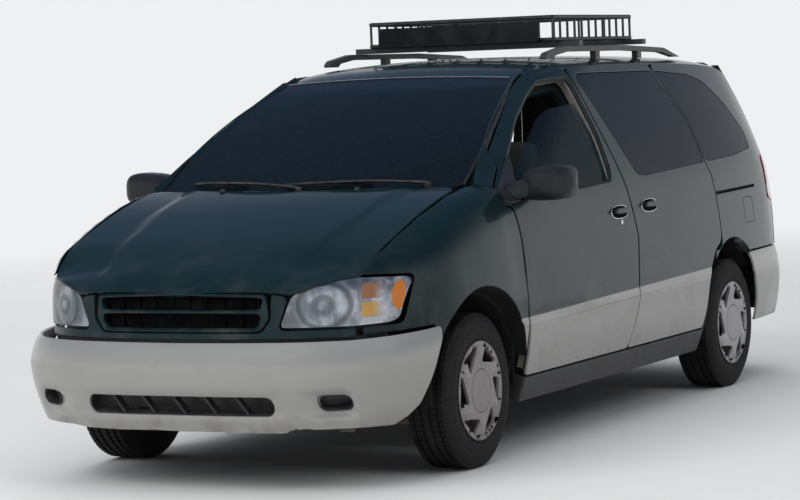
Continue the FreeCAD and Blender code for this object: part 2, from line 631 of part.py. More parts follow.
# Door glass, lowered by about 100 mm in each front door, and the fixed dark glass behind
front_glass_wire = outline([
    (-1020, 1100, 10), (-1020, 1143, 20), (-676, 1312, 300), (-456, 1415, 150), (-314, 1451, 150), (-40, 1466, 20),
    (24, 1290, 200), (4, 1130, 40), (-40, 1096, 20),
])
front_glass = side_glass_sheet.common(through_side(front_glass_wire))
front_glass = front_glass.cut(door)
front_glass = max(front_glass.Solids, key=lambda s: s.Volume)
keep("door_glass_left", front_glass)
slide_glass = side_flush_sheet.common(through_side(outline(SLIDING_GLASS)))
quarter_glass = side_flush_sheet.common(through_side(outline(QUARTER_GLASS)))
keep("side_glass", Part.makeCompound([slide_glass, quarter_glass, mirrored(slide_glass), mirrored(quarter_glass)]))

# Door mirror on its sail, which is seated on the door's front corner
sail_wire = outline([
    (-1178, 1070, 12), (-1174, 1122, 20), (-1046, 1190, 60), (-915, 1268, 14), (-955, 1203, 100), (-1000, 1150, 100),
    (-1040, 1066, 20), (-1108, 1060, 10),
])
sail = skin(SIDE_GRID, -10, -SEAT_GAP, INSIDE).common(through_side(sail_wire))
arm = Part.makeLoft([
    placed(outline([(-1120, 1080, 14), (-1120, 1140, 14), (-1060, 1140, 14), (-1060, 1080, 14)]), "x", 820),
    placed(outline([(-1080, 1086, 14), (-1080, 1156, 14), (-1000, 1156, 14), (-1000, 1086, 14)]), "x", 925),
], True)
# Mirror shell sections: x, half length, half height, height of the middle
MIRROR_SECTIONS = [
    (895, 62, 40, 1112), (930, 88, 66, 1118), (1010, 92, 72, 1121), (1070, 78, 62, 1120), (1100, 44, 36, 1118),
]
MIRROR_Y = -960.0
shells = []
for (x, half_y, half_z, zc) in MIRROR_SECTIONS:
    yc = MIRROR_Y
    r = min(half_y, half_z) * 0.55
    shells.append(placed(outline([(yc - half_y, zc - half_z), (yc - half_y, zc + half_z), (yc + half_y, zc + half_z),
                                  (yc + half_y, zc - half_z)], r), "x", x))
shell_body = Part.makeLoft(shells, True)
shell_body = shell_body.cut(box(800, 1092, -905, -800, 1000, 1300))
mirror_body = fused([sail, arm.cut(skin(SIDE_GRID, -SEAT_GAP, 80, INSIDE)), shell_body])
keep("mirror_left", mirror_body)

door_right = mirrored(door)
keep("door_right", door_right)
keep("door_glass_right", mirrored(front_glass))
keep("mirror_right", mirrored(mirror_body))

# Underbody: one stepped pan from the toe board to the tail, kicked up over the rear axle
FLOOR_THICKNESS = 24.0
FLOOR_LINE = [(-1105, 620), (-1040, 290), (880, 290), (1050, 420), (1780, 420), (1900, 350), (2340, 350)]
floor_top = [(y, z) for (y, z) in FLOOR_LINE]
floor_low = [(y - 4, z - FLOOR_THICKNESS) for (y, z) in reversed(FLOOR_LINE)]
FLOOR_HALF = 735.0
floor = prism(outline(floor_top + floor_low), "x", -FLOOR_HALF, FLOOR_HALF)
TAIL_FLOOR_HALF = 640.0
WHEEL_TUB_HALF = 560.0
for sign in (-1, 1):
    tub = rod((sign * WHEEL_TUB_HALF, REAR_AXLE_Y, ARCH_Z), (sign * 900, REAR_AXLE_Y, ARCH_Z), REAR_LINER_RADIUS + 2)
    floor = floor.cut(tub)
    xs = sorted((sign * TAIL_FLOOR_HALF, sign * 900))
    floor = floor.cut(box(xs[0], xs[1], REAR_AXLE_Y, 2500, 200, 600))

# Wheelhouse liners, arched over each wheel with a wall on the inboard side
LINER = 5.0


def wheelhouse(axle_y, radius, inner_x, outer_x, low_z):
    centre = ARCH_Z
    drum = rod((inner_x, axle_y, centre), (outer_x, axle_y, centre), radius)
    bore = rod((inner_x + LINER, axle_y, centre), (outer_x + 1, axle_y, centre), radius - LINER)
    half = box(0, 1200, axle_y - 600, axle_y + 600, low_z, 1000)
    return drum.cut(bore).common(half)


front_liner = wheelhouse(FRONT_AXLE_Y, LINER_RADIUS, 492, 852, 300)
STRUT_TOP = (610, -1482, 800)
front_liner = front_liner.cut(rod((STRUT_TOP[0], STRUT_TOP[1], 500), (STRUT_TOP[0], STRUT_TOP[1], 900), 92))
rear_liner = wheelhouse(REAR_AXLE_Y, REAR_LINER_RADIUS, 562, 800, 402)
rear_liner = rear_liner.cut(side_wall)
rear_liner = max(rear_liner.Solids, key=lambda s: s.Volume)
keep("wheelhouses", Part.makeCompound([front_liner, mirrored(front_liner), rear_liner, mirrored(rear_liner)]))

# Firewall with the cowl tray that carries the wipers
firewall = box(-690, 690, -1130, -1112, 560, 1040)
cowl_wire = outline([
    (-1130, 1040), (-1112, 1040), (-1112, 1070), (-1270, 1105), (-1360, 1112), (-1395, 1100), (-1380, 1085),
    (-1290, 1085), (-1130, 1052),
])
cowl = prism(cowl_wire, "x", -690, 690)
cowl = fused([firewall, cowl])
for sign in (-1, 1):
    reach = rod((sign * 488, FRONT_AXLE_Y, ARCH_Z), (sign * 900, FRONT_AXLE_Y, ARCH_Z), LINER_RADIUS + 3)
    cowl = cowl.cut(reach)
    floor = floor.cut(reach)
keep("floor", floor)
keep("cowl", cowl)

# Front frame: side rails, cross members, strut towers and the panel behind the grille
RAIL_X = 420.0
rails = [box(s * RAIL_X - 35, s * RAIL_X + 35, -2340, -1108, 400, 500) for s in (-1, 1)]
cross = [box(-RAIL_X, RAIL_X, -1900, -1800, 230, 300), box(-RAIL_X, RAIL_X, -1320, -1200, 230, 300)]
legs = [box(s * RAIL_X - 35, s * RAIL_X + 35, y, y + 100, 230, 420) for s in (-1, 1) for y in (-1900, -1320)]
beam = box(-480, 480, -2372, -2330, 400, 520)
support = box(-560, 560, -2190, -2160, 260, 740).cut(box(-330, 330, -2200, -2150, 300, 700))
towers = []
for s in (-1, 1):
    strut_x = s * STRUT_TOP[0]
    cap = rod((strut_x, STRUT_TOP[1], STRUT_TOP[2]), (strut_x, STRUT_TOP[1], STRUT_TOP[2] + 12), 88)
    wall = box(min(s * 455, s * 487), max(s * 455, s * 487), -1590, -1380, 480, 812)
    shelf_top = box(min(s * 455, s * 640), max(s * 455, s * 640), -1560, -1404, 800, 812)
    towers.append(fused([cap, wall, shelf_top]))
front_frame = fused(rails + cross + legs + [beam, support] + towers)
front_frame = front_frame.cut(rod((487, FRONT_AXLE_Y, ARCH_Z), (900, FRONT_AXLE_Y, ARCH_Z), LINER_RADIUS))
front_frame = front_frame.cut(rod((-487, FRONT_AXLE_Y, ARCH_Z), (-900, FRONT_AXLE_Y, ARCH_Z), LINER_RADIUS))
keep("front_frame", front_frame)
keep("engine", box(-360, 340, -1980, -1380, 300.3, 800))

# Steering knuckles: each turns on the line from its lower ball joint to the strut's top
BALL_JOINT = (738, -1500, 190)
HUB_X = 792.0


def knuckle():
    upright = box(712, 752, -1545, -1455, 214, 430)
    hub = rod((740, FRONT_AXLE_Y, AXLE_Z), (HUB_X, FRONT_AXLE_Y, AXLE_Z), 34)
    axis_x = (BALL_JOINT[0] - STRUT_TOP[0]) / (STRUT_TOP[2] - BALL_JOINT[2])
    axis_y = (STRUT_TOP[1] - BALL_JOINT[1]) / (STRUT_TOP[2] - BALL_JOINT[2])

    def on_axis(z):
        rise = z - BALL_JOINT[2]
        return (BALL_JOINT[0] - axis_x * rise, BALL_JOINT[1] + axis_y * rise, z)
    bracket = box(612, 752, -1520, -1470, 395, 430)
    tube = rod((634, -1495, 395), on_axis(700), 25)
    seat = rod(on_axis(664), on_axis(674), 62)
    stem = rod(on_axis(690), on_axis(780), 12)
    ball_stud = rod(on_axis(202.7), on_axis(216), 11)
    arm = box(640, 740, -1400, -1380, 240, 262)
    link = box(712, 740, -1470, -1380, 240, 262)
    return fused([upright, hub, bracket, tube, seat, stem, ball_stud, arm, link])


left_knuckle = knuckle()
keep("knuckle_left", left_knuckle)
keep("knuckle_right", mirrored(left_knuckle))

# Lower arms under the knuckles, and the rear twist beam with its trailing arms and springs
arms = []
for s in (-1, 1):
    x0, x1 = sorted((s * 400, s * 745))
    arms.append(box(x0, x1, -1530, -1470, 176, 200).cut(box(x0 + 60, x1 - 60, -1515, -1485, 170, 210)))
    xs = sorted((s * 385, s * 455))
    arms[-1] = fused([arms[-1], box(xs[0], xs[1], -1800, -1320, 176, 229.7)])
keep("lower_arms", Part.makeCompound(arms))
REAR_HUB_X = 806.0
beam_rear = [box(-540, 540, 1180, 1250, 250, 330)]
for s in (-1, 1):
    xs = sorted((s * 500, s * 550))
    beam_rear.append(box(xs[0], xs[1], 990, 1470, 262, 345))
    beam_rear.append(rod((s * 530, REAR_AXLE_Y, AXLE_Z), (s * REAR_HUB_X, REAR_AXLE_Y, AXLE_Z), 30))
    beam_rear.append(rod((s * 440, 1215, 300), (s * 440, 1215, 395.7), 55))
keep("rear_axle", fused(beam_rear))

# Wheels: a steel rim with a moulded cover, which has a round cap and six swirled openings, and the tyre on it
COVER_RADIUS = 206.0
CAP_RADIUS = 88.0
COVER_OPENINGS = 6
# One opening: radius, share of the pitch between openings, corner radius
OPENING = [(126, 0.37, 10), (184, 0.15, 12), (186, -0.37, 4), (162, -0.27, 8)]


def wheel(centre_x):
    """Left-hand wheel turned about its own axle line; the outer face is towards +X."""
    half = 88.0
    rim_profile = outline([
        (-half, RIM_RADIUS - 6), (-half, RIM_RADIUS + 9), (-half + 10, RIM_RADIUS + 9), (-half + 16, RIM_RADIUS),
        (half - 16, RIM_RADIUS), (half - 10, RIM_RADIUS + 9), (half, RIM_RADIUS + 9), (half, RIM_RADIUS - 6),
        (40, RIM_RADIUS - 16), (-40, RIM_RADIUS - 24),
    ])
    rim = Part.Face(rim_profile).revolve(V(0, 0, 0), V(1, 0, 0), 360)
    dish = outline([
        (16, 0), (16, 60), (38, 120), (34, RIM_RADIUS - 12), (46, RIM_RADIUS - 12), (50, 118), (28, 56), (28, 0),
    ])
    dish = Part.Face(dish).revolve(V(0, 0, 0), V(1, 0, 0), 360)
    cover = outline([
        (92, 0), (92, CAP_RADIUS), (90, 150), (91, COVER_RADIUS - 22), (96, COVER_RADIUS), (101, COVER_RADIUS),
        (103, COVER_RADIUS - 10), (99, COVER_RADIUS - 22), (102, COVER_RADIUS - 38), (104, CAP_RADIUS + 40),
        (105, CAP_RADIUS + 3), (101, CAP_RADIUS), (105, CAP_RADIUS - 3), (107, CAP_RADIUS - 38), (107, 0),
    ])
    cover = Part.Face(cover).revolve(V(0, 0, 0), V(1, 0, 0), 360)
    pitch = 2 * math.pi / COVER_OPENINGS
    openings = []
    for i in range(COVER_OPENINGS):
        corners = []
        for radius, share, corner in OPENING:
            angle = pitch * (i + share)
            corners.append((radius * math.cos(angle), radius * math.sin(angle), corner))
        openings.append(prism(outline(corners), "x", 50, 120))
    cover = cover.cut(Part.makeCompound(openings))
    post = rod((27, 0, 0), (93, 0, 0), 40)
    body = fused([rim, dish, post, cover])
    body.translate(V(centre_x, 0, AXLE_Z))
    return body


def tyre(centre_x):
    half = TYRE_WIDTH / 2
    profile = outline([
        (-half + 14, RIM_RADIUS + 9.3, 4), (-half, RIM_RADIUS + 50, 40), (-half + 8, TYRE_RADIUS - 20, 20),
        (-half + 24, TYRE_RADIUS - 2, 14), (-half + 42, TYRE_RADIUS), (half - 42, TYRE_RADIUS),
        (half - 24, TYRE_RADIUS - 2, 14), (half - 8, TYRE_RADIUS - 20, 20), (half, RIM_RADIUS + 50, 40),
        (half - 14, RIM_RADIUS + 9.3, 4),
    ])
    ring = Part.Face(profile).revolve(V(0, 0, 0), V(1, 0, 0), 360)
    ring.translate(V(centre_x, 0, AXLE_Z))
    return ring


WHEELS = [
    ("front_left", FRONT_WHEEL_X, FRONT_AXLE_Y, 1), ("front_right", FRONT_WHEEL_X, FRONT_AXLE_Y, -1),
    ("rear_left", REAR_WHEEL_X, REAR_AXLE_Y, 1), ("rear_right", REAR_WHEEL_X, REAR_AXLE_Y, -1),
]
for name, x, y, sign in WHEELS:
    for part_name, shape in (("wheel_", wheel(x)), ("tyre_", tyre(x))):
        shape = shape if sign > 0 else mirrored(shape)
        shape.translate(V(0, y, 0))
        keep(part_name + name, shape)

# Roof rails and the basket clamped across them
RAIL_HALF = 560.0
RAIL_SIDE = [
    (-60, 1660, 10), (-20, 1690, 60), (180, 1718, 200), (900, 1716, 400), (1400, 1698, 200), (1620, 1648, 60),
    (1640, 1636, 10), (1560, 1628), (1540, 1652, 30), (1370, 1676, 200), (900, 1690, 400), (200, 1692, 200),
    (60, 1676, 60), (40, 1660),
]
rail = prism(outline(RAIL_SIDE), "x", RAIL_HALF - 17, RAIL_HALF + 17)
rail_posts = [box(RAIL_HALF - 15, RAIL_HALF + 15, y - 25, y + 25, 1640, 1700) for y in (560, 1080)]
rail = fused([rail] + rail_posts).cut(roof_bulk.translated(V(0, 0, SEAT_GAP)))
rail = rail.cut(frame.translated(V(SEAT_GAP, 0, SEAT_GAP)))
rail = max(rail.Solids, key=lambda s: s.Volume)
keep("roof_rails", Part.makeCompound([rail, mirrored(rail)]))
BASKET_HALF = 478.0
BASKET_Y = (262.0, 1200.0)
BASKET_Z = (1752.0, 1857.0)
FRAME_TUBE = 10.0
UPRIGHT_ROD = 6.0
FLOOR_ROD = 7.0
SIDE_BAYS = 11
FLOOR_BAYS = 7
BASKET_CLAMPS = (330.0, 1110.0)
tubes = []
for z in BASKET_Z:
    for s in (-1, 1):
        tubes.append(rod((s * BASKET_HALF, BASKET_Y[0], z), (s * BASKET_HALF, BASKET_Y[1], z), FRAME_TUBE))
    for y in BASKET_Y:
        tubes.append(rod((-BASKET_HALF, y, z), (BASKET_HALF, y, z), FRAME_TUBE))
for y in spaced(*BASKET_Y, SIDE_BAYS + 1):
    for s in (-1, 1):
        tubes.append(rod((s * BASKET_HALF, y, BASKET_Z[0]), (s * BASKET_HALF, y, BASKET_Z[1]), UPRIGHT_ROD))
for x in spaced(-BASKET_HALF, BASKET_HALF, FLOOR_BAYS + 1)[1:-1]:
    tubes.append(rod((x, BASKET_Y[0], BASKET_Z[0]), (x, BASKET_Y[1], BASKET_Z[0]), FLOOR_ROD))
    for y in BASKET_Y:
        tubes.append(rod((x, y, BASKET_Z[0]), (x, y, BASKET_Z[1]), UPRIGHT_ROD))
for y in BASKET_CLAMPS:
    tubes.append(box(-RAIL_HALF - 30, RAIL_HALF + 30, y - 22, y + 22, 1718.5, 1744))
    for x in (-400, 400):
        tubes.append(box(x - 15, x + 15, y - 15, y + 15, 1740, 1753))
basket = fused(tubes)
keep("roof_basket", basket)
fairing_wire = outline([(216, 1740, 6), (246, 1836, 6), (251.7, 1836), (251.7, 1742)])
keep("fairing", prism(fairing_wire, "x", -418, 418))

# Cabin
dash_wire = outline([
    (-1105, 1060, 20), (-1000, 1065, 60), (-820, 1030, 60), (-780, 900, 40), (-850, 780, 60), (-860, 620, 20),
    (-1105, 620),
])
WHEEL_CENTRE = V(370, -700, 985)
COLUMN = V(0, -0.90, -0.436)
STUB_END = 70.0
shroud = Part.makeCylinder(38, 120, WHEEL_CENTRE + COLUMN * (STUB_END + SEAT_GAP), COLUMN)
keep("dashboard", fused([prism(dash_wire, "x", -650, 650), shroud]))
ring = Part.makeTorus(185, 14, WHEEL_CENTRE, COLUMN)
hub = Part.makeCylinder(55, 40, WHEEL_CENTRE - COLUMN * 5, COLUMN)
spokes = []
side = V(1, 0, 0)
upward = COLUMN.cross(side)
for angle in (-15, 195, 270):
    a = math.radians(angle)
    way = side * math.cos(a) + upward * math.sin(a)
    spokes.append(Part.makeCylinder(12, 175, WHEEL_CENTRE + COLUMN * 12, way))
steering = fused([ring, hub] + spokes + [Part.makeCylinder(20, STUB_END - 20, WHEEL_CENTRE + COLUMN * 20, COLUMN)])
keep("steering_wheel", steering)


def seat(x, y, width, base_z, back_top):
    """One seat: cushion, raked back and head restraint on a plinth."""
    w = width / 2
    side_view = outline([
        (y - 280, base_z, 20), (y - 290, base_z + 170, 50), (y + 150, base_z + 140, 40), (y + 250, back_top, 40),
        (y + 350, back_top, 40), (y + 250, base_z, 40),
    ])
    body = prism(side_view, "x", x - w, x + w)
    if width < 700:
        head_side = outline([
            (y + 262, back_top + 30, 20), (y + 270, back_top + 190, 30), (y + 350, back_top + 190, 30),
            (y + 350, back_top + 30, 20),
        ])
        stalks = [rod((x + s * 60, y + 305, back_top - 10), (x + s * 60, y + 305, back_top + 40), 7) for s in (-1, 1)]
        body = fused([body, prism(head_side, "x", x - 130, x + 130)] + stalks)
    base = box(x - w + 40, x + w - 40, y - 200, y + 200, FLOOR_LINE[1][1] + 0.3, base_z + 5)
    return fused([body, base])


keep("front_seats", Part.makeCompound([seat(s * 370, -330, 500, 480, 1100) for s in (-1, 1)]))
keep("middle_seats", Part.makeCompound([seat(s * 330, 500, 480, 480, 1060) for s in (-1, 1)]))
rear_side_view = outline([
    (1080, 520, 20), (1070, 700, 50), (1480, 680, 40), (1560, 1060, 40), (1660, 1060, 40), (1590, 520, 30),
])
rear_body = prism(rear_side_view, "x", -530, 530)
rear_base = box(-480, 480, 1150, 1560, 420.3, 525)
keep("rear_seat", fused([rear_body, rear_base]))

# Fuel tank, exhaust and spare wheel under the floor
keep("fuel_tank", box(-240, 420, 300, 820, 170, 265.7))
PIPE_X = -300.0
PIPE_RADIUS = 24.0
PIPE_BORE = 20.0
PIPE_Z = 200.0
TAIL_PIPE_Z = 236.0
TAIL_PIPE_END = 2380.0
TIP_RADIUS = 27.0
TIP_LENGTH = 130.0
pipe = [
    rod((PIPE_X, -1300, PIPE_Z), (PIPE_X, 1400, PIPE_Z), PIPE_RADIUS),
    rod((PIPE_X, 1400, PIPE_Z), (PIPE_X, 1760, TAIL_PIPE_Z), PIPE_RADIUS),
    rod((PIPE_X, 1755, TAIL_PIPE_Z), (PIPE_X, TAIL_PIPE_END - TIP_LENGTH + 1, TAIL_PIPE_Z), PIPE_RADIUS),
    rod((PIPE_X, TAIL_PIPE_END - TIP_LENGTH, TAIL_PIPE_Z), (PIPE_X, TAIL_PIPE_END, TAIL_PIPE_Z), TIP_RADIUS),
    box(PIPE_X - 100, PIPE_X + 80, 1840, 2220, TAIL_PIPE_Z - 38, 325.7),
]
bore = rod((PIPE_X, TAIL_PIPE_END - 120, TAIL_PIPE_Z), (PIPE_X, TAIL_PIPE_END + 20, TAIL_PIPE_Z), PIPE_BORE)
keep("exhaust", fused(pipe).cut(bore))
spare = rod((120, 1990, 200), (120, 1990, 325.7), 290).cut(rod((120, 1990, 190), (120, 1990, 250), 170))
keep("spare_wheel", spare)

# Wipers parked along the foot of the windshield
WIPERS = [(0.80, 0.44, 0.08), (0.02, -0.36, -0.72)]
WIPER_LIFT = 17.0
wipers = []
for pivot_u, bend_u, tip_u in WIPERS:
    spots = [shield_point(u, 0.03) + V(0, -0.42, 0.9) * WIPER_LIFT for u in (pivot_u, bend_u, tip_u)]
    post = rod((spots[0].x, spots[0].y - 12, 1095), (spots[0].x, spots[0].y - 2, spots[0].z + 8), 15)
    wipers.append(fused([rod(spots[0], spots[1], 7), rod(spots[1], spots[2], 7), post]).cut(cowl).cut(shield_seat))
keep("wipers", Part.makeCompound(wipers))
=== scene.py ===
import math
import bpy
import numpy as np
from mathutils import Matrix, Vector
from mathutils.geometry import delaunay_2d_cdt


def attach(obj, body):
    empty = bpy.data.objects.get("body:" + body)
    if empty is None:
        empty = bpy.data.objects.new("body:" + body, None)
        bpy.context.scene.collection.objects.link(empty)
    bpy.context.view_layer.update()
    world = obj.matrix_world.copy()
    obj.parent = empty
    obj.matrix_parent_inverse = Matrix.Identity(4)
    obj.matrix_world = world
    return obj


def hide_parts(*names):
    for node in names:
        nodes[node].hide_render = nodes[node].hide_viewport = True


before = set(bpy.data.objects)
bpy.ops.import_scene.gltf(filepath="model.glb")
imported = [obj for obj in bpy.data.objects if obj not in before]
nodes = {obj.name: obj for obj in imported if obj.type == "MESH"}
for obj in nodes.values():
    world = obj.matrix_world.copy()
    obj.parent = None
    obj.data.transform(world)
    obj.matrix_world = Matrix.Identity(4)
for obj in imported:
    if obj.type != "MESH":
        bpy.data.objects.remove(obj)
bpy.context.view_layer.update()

# Underbody
# The floor pan, front rails, wheelhouses and cross members are pressed steel, spot welded and sprayed with
# black underseal. The engine, axles and exhaust are bolted to them and are covered in road dirt.


class Signal:
    """One value in a tree of nodes. Sums written with it become Math nodes."""

    def __init__(self, shading, socket):
        self.shading = shading
        self.socket = socket

    def maths(self, operation, *values):
        return self.shading.node("ShaderNodeMath", {"operation": operation}, dict(enumerate(values)))

    def __add__(self, other):
        return self.maths("ADD", self, other)

    def __sub__(self, other):
        return self.maths("SUBTRACT", self, other)

    def __rsub__(self, other):
        return self.maths("SUBTRACT", other, self)

    def __mul__(self, other):
        return self.maths("MULTIPLY", self, other)

    def __pow__(self, other):
        return self.maths("POWER", self, other)

    __radd__ = __add__
    __rmul__ = __mul__

    def size(self):
        return self.maths("ABSOLUTE", self)

    def rise(self, low, high):
        """Eased from 0 to 1 as the value goes from low to high."""
        limits = {"Value": self, "From Min": low, "From Max": high}
        return self.shading.node("ShaderNodeMapRange", {"interpolation_type": "SMOOTHSTEP"}, limits)


class Shading:
    """A tree of nodes, of a material, the room or a shape."""

    def __init__(self, tree):
        self.tree = tree

    def node(self, kind, settings=None, inputs=None, output=0):
        made = self.tree.nodes.new(kind)
        for key, value in (settings or {}).items():
            setattr(made, key, value)
        for key, value in (inputs or {}).items():
            self.join(made.inputs[key], value)
        return Signal(self, made.outputs[output])

    def join(self, socket, value):
        if isinstance(value, Signal):
            self.tree.links.new(value.socket, socket)
        elif socket.type == "RGBA":
            socket.default_value = (*value, 1.0)
        else:
            socket.default_value = value

    def blend(self, share, first, second):
        return self.node("ShaderNodeMix", {"data_type": "RGBA"}, {0: share, 6: first, 7: second}, output=2)


class Finish(Shading):
    """A surface finish: one material with its Principled shader, and the nodes that vary it."""

    def __init__(self, name, colour, roughness, metallic=0.0, **sockets):
        self.material = bpy.data.materials.new(name)
        self.material.use_nodes = True
        super().__init__(self.material.node_tree)
        self.shader = self.tree.nodes["Principled BSDF"]
        self.feed("Base Color", colour)
        self.feed("Roughness", roughness)
        self.feed("Metallic", metallic)
        for socket, value in sockets.items():
            self.feed(socket.replace("_", " "), value)
        self.at = self.node("ShaderNodeTexCoord", output="Object")

    def feed(self, name, value):
        self.join(self.shader.inputs[name], value)

    def cover(self, share, colour):
        """Lays a share of a colour over the colour that the finish has so far."""
        present = Signal(self, self.shader.inputs["Base Color"].links[0].from_socket)
        self.feed("Base Color", self.blend(share, present, colour))

    def part(self, axis):
        return self.node("ShaderNodeSeparateXYZ", inputs={0: self.at}, output=axis)

    def noise(self, scale, detail=3.0, rough=0.55, stretch=(1, 1, 1)):
        place = self.node("ShaderNodeVectorMath", {"operation": "MULTIPLY"}, {0: self.at, 1: stretch})
        values = {"Vector": place, "Scale": scale, "Detail": detail, "Roughness": rough}
        return self.node("ShaderNodeTexNoise", inputs=values)

    def cells(self, scale, output="Distance"):
        return self.node("ShaderNodeTexVoronoi", inputs={"Vector": self.at, "Scale": scale}, output=output)

    def relief(self, height, distance, strength=0.5):
        values = {"Height": height, "Distance": distance, "Strength": strength}
        self.feed("Normal", self.node("ShaderNodeBump", inputs=values))


def mottled(name, colour, shade, roughness, scale, metallic=0.0, grain=0.0, grain_scale=400.0, **sockets):
    """A finish whose colour wanders between two near shades, with a fine grain raised on it."""
    finish = Finish(name, colour, roughness, metallic, **sockets)
    wander = finish.noise(scale).rise(0.35, 0.7)
    finish.feed("Base Color", finish.blend(wander, colour, shade))
    finish.feed("Roughness", roughness + 0.12 * (wander - 0.5))
    if grain:
        finish.relief(finish.noise(grain_scale, 2.0), grain)
    return finish


def dress(finish, *names):
    for name in names:
        nodes[name].data.materials.clear()
        nodes[name].data.materials.append(finish.material)


underseal = mottled("underseal", (0.012, 0.012, 0.012), (0.035, 0.031, 0.027), 0.75, 6.0, grain=0.002,
                    grain_scale=90.0)
dirty_iron = mottled("dirty iron", (0.05, 0.048, 0.045), (0.11, 0.075, 0.05), 0.65, 9.0, metallic=0.4,
                     grain=0.001)
dirty_steel = mottled("dirty steel", (0.12, 0.115, 0.11), (0.2, 0.12, 0.07), 0.5, 12.0, metallic=0.7,
                      grain=0.0006)
liner_plastic = mottled("liner plastic", (0.006, 0.006, 0.006), (0.018, 0.017, 0.015), 0.9, 5.0, grain=0.001,
                        Specular_IOR_Level=0.2)
dress(underseal, "floor", "front_frame", "spare_wheel")
dress(dirty_iron, "engine", "knuckle_left", "knuckle_right")
dress(dirty_steel, "lower_arms", "rear_axle", "exhaust")
dress(liner_plastic, "wheelhouses", "fuel_tank")

# Body shell
# The sides and roof are pressed steel sheet about a millimetre thick, welded over box pillars. They are
# painted dark green metallic under clear lacquer, and the cabin side of the roof carries a glued cloth
# headliner.

# Body side section: height, half width
SIDE_SECTION = [
    (0.15, 0.832), (0.33, 0.893), (0.45, 0.922), (0.56, 0.931), (0.7, 0.926), (0.85, 0.915), (1.0, 0.895),
    (1.1, 0.872), (1.25, 0.815), (1.4, 0.75), (1.55, 0.683), (1.7, 0.61),
]
# Body side plan: station, inset from the section above
SIDE_PLAN = [
    (-1.45, 0.01), (-1.085, 0.0), (-0.4, -0.002), (0.4, -0.002), (1.0, 0.0), (1.5, 0.009), (1.9, 0.028),
    (2.1, 0.052), (2.25, 0.096), (2.38, 0.19),
]
# The side rounds inwards towards the windshield pillar, from its foot to its head
PILLAR_FOOT = (-1.283, 1.147)
PILLAR_HEAD = (-0.425, 1.59)
PILLAR_REACH = 0.3
PILLAR_WRAP = 0.066
BELT_Z = 0.98
SHOULDER_Z = 1.2
# Lower cladding: its top edge at the front door's front edge, the rise along the car, how proud it stands
CLADDING_START = -1.085
CLADDING_TOP = 0.584
CLADDING_RISE = 0.019
CLADDING_PROUD = 0.007
CLADDING_BEVEL = 0.034
FRONT_AXLE_Y = -1.5
REAR_AXLE_Y = 1.4
AXLE_Z = 0.318
ARCH_Z = 0.328
FRONT_ARCH = 0.418
REAR_ARCH = 0.416
# Roof: station, height on the centre line
ROOF_PROFILE = [
    (-0.5, 1.578), (-0.4, 1.61), (-0.28, 1.64), (-0.1, 1.662), (0.2, 1.677), (0.7, 1.681), (1.2, 1.675),
    (1.7, 1.657), (2.0, 1.632), (2.15, 1.61),
]
# Roof crown: across, drop below the centre line
ROOF_CROWN = [
    (0.0, 0.0), (0.2, 0.003), (0.4, 0.012), (0.52, 0.022), (0.6, 0.038), (0.68, 0.072),
]


def interpolate(table, value, column=1):
    """Smooth value of one column of a table at a place along its first column."""
    last = len(table) - 1
    i = 0
    while i < last - 1 and table[i + 1][0] <= value:
        i += 1
    slopes = []
    for j in (i, i + 1):
        a = max(j - 1, 0)
        b = min(j + 1, last)
        slopes.append((table[b][column] - table[a][column]) / (table[b][0] - table[a][0]))
    run = table[i + 1][0] - table[i][0]
    t = (value - table[i][0]) / run
    if t < 0 or t > 1:
        edge = i if t < 0 else i + 1
        return table[edge][column] + slopes[0 if t < 0 else 1] * (value - table[edge][0])
    a0 = (1 + 2 * t) * (1 - t) ** 2
    a1 = t * (1 - t) ** 2
    b0 = t * t * (3 - 2 * t)
    b1 = t * t * (t - 1)
    return a0 * table[i][column] + a1 * run * slopes[0] + b0 * table[i + 1][column] + b1 * run * slopes[1]


def eased(value, low, high):
    t = min(max((value - low) / (high - low), 0.0), 1.0)
    return t * t * (3 - 2 * t)


def side_x(y, z):
    run = PILLAR_HEAD[0] - PILLAR_FOOT[0]
    climb = PILLAR_HEAD[1] - PILLAR_FOOT[1]
    behind = ((y - PILLAR_FOOT[0]) * climb - (z - PILLAR_FOOT[1]) * run) / math.hypot(run, climb)
    near = min(max(1 - behind / PILLAR_REACH, 0.0), 1.2)
    wrap = PILLAR_WRAP * near * near * eased(z, BELT_Z, SHOULDER_Z)
    return interpolate(SIDE_SECTION, z) - interpolate(SIDE_PLAN, y) - wrap


def cladding_top(y):
    return CLADDING_TOP + CLADDING_RISE * (y - CLADDING_START)


def on_side(y, z):
    """Point of the left side, with the moulded step of the lower cladding on it."""
    top = cladding_top(y)
    step = CLADDING_PROUD * (1 - eased(z, top - CLADDING_BEVEL, top))
    return Vector((side_x(y, z) + step - CLADDING_PROUD * 0.5, y, z))


def on_roof(x, y):
    return Vector((x, y, interpolate(ROOF_PROFILE, y) - interpolate(ROOF_CROWN, abs(x))))


def roof_half(y):
    """Where the roof panel meets the body side."""
    x = 0.65
    for _ in range(8):
        x = side_x(y, on_roof(x, y).z)
    return x


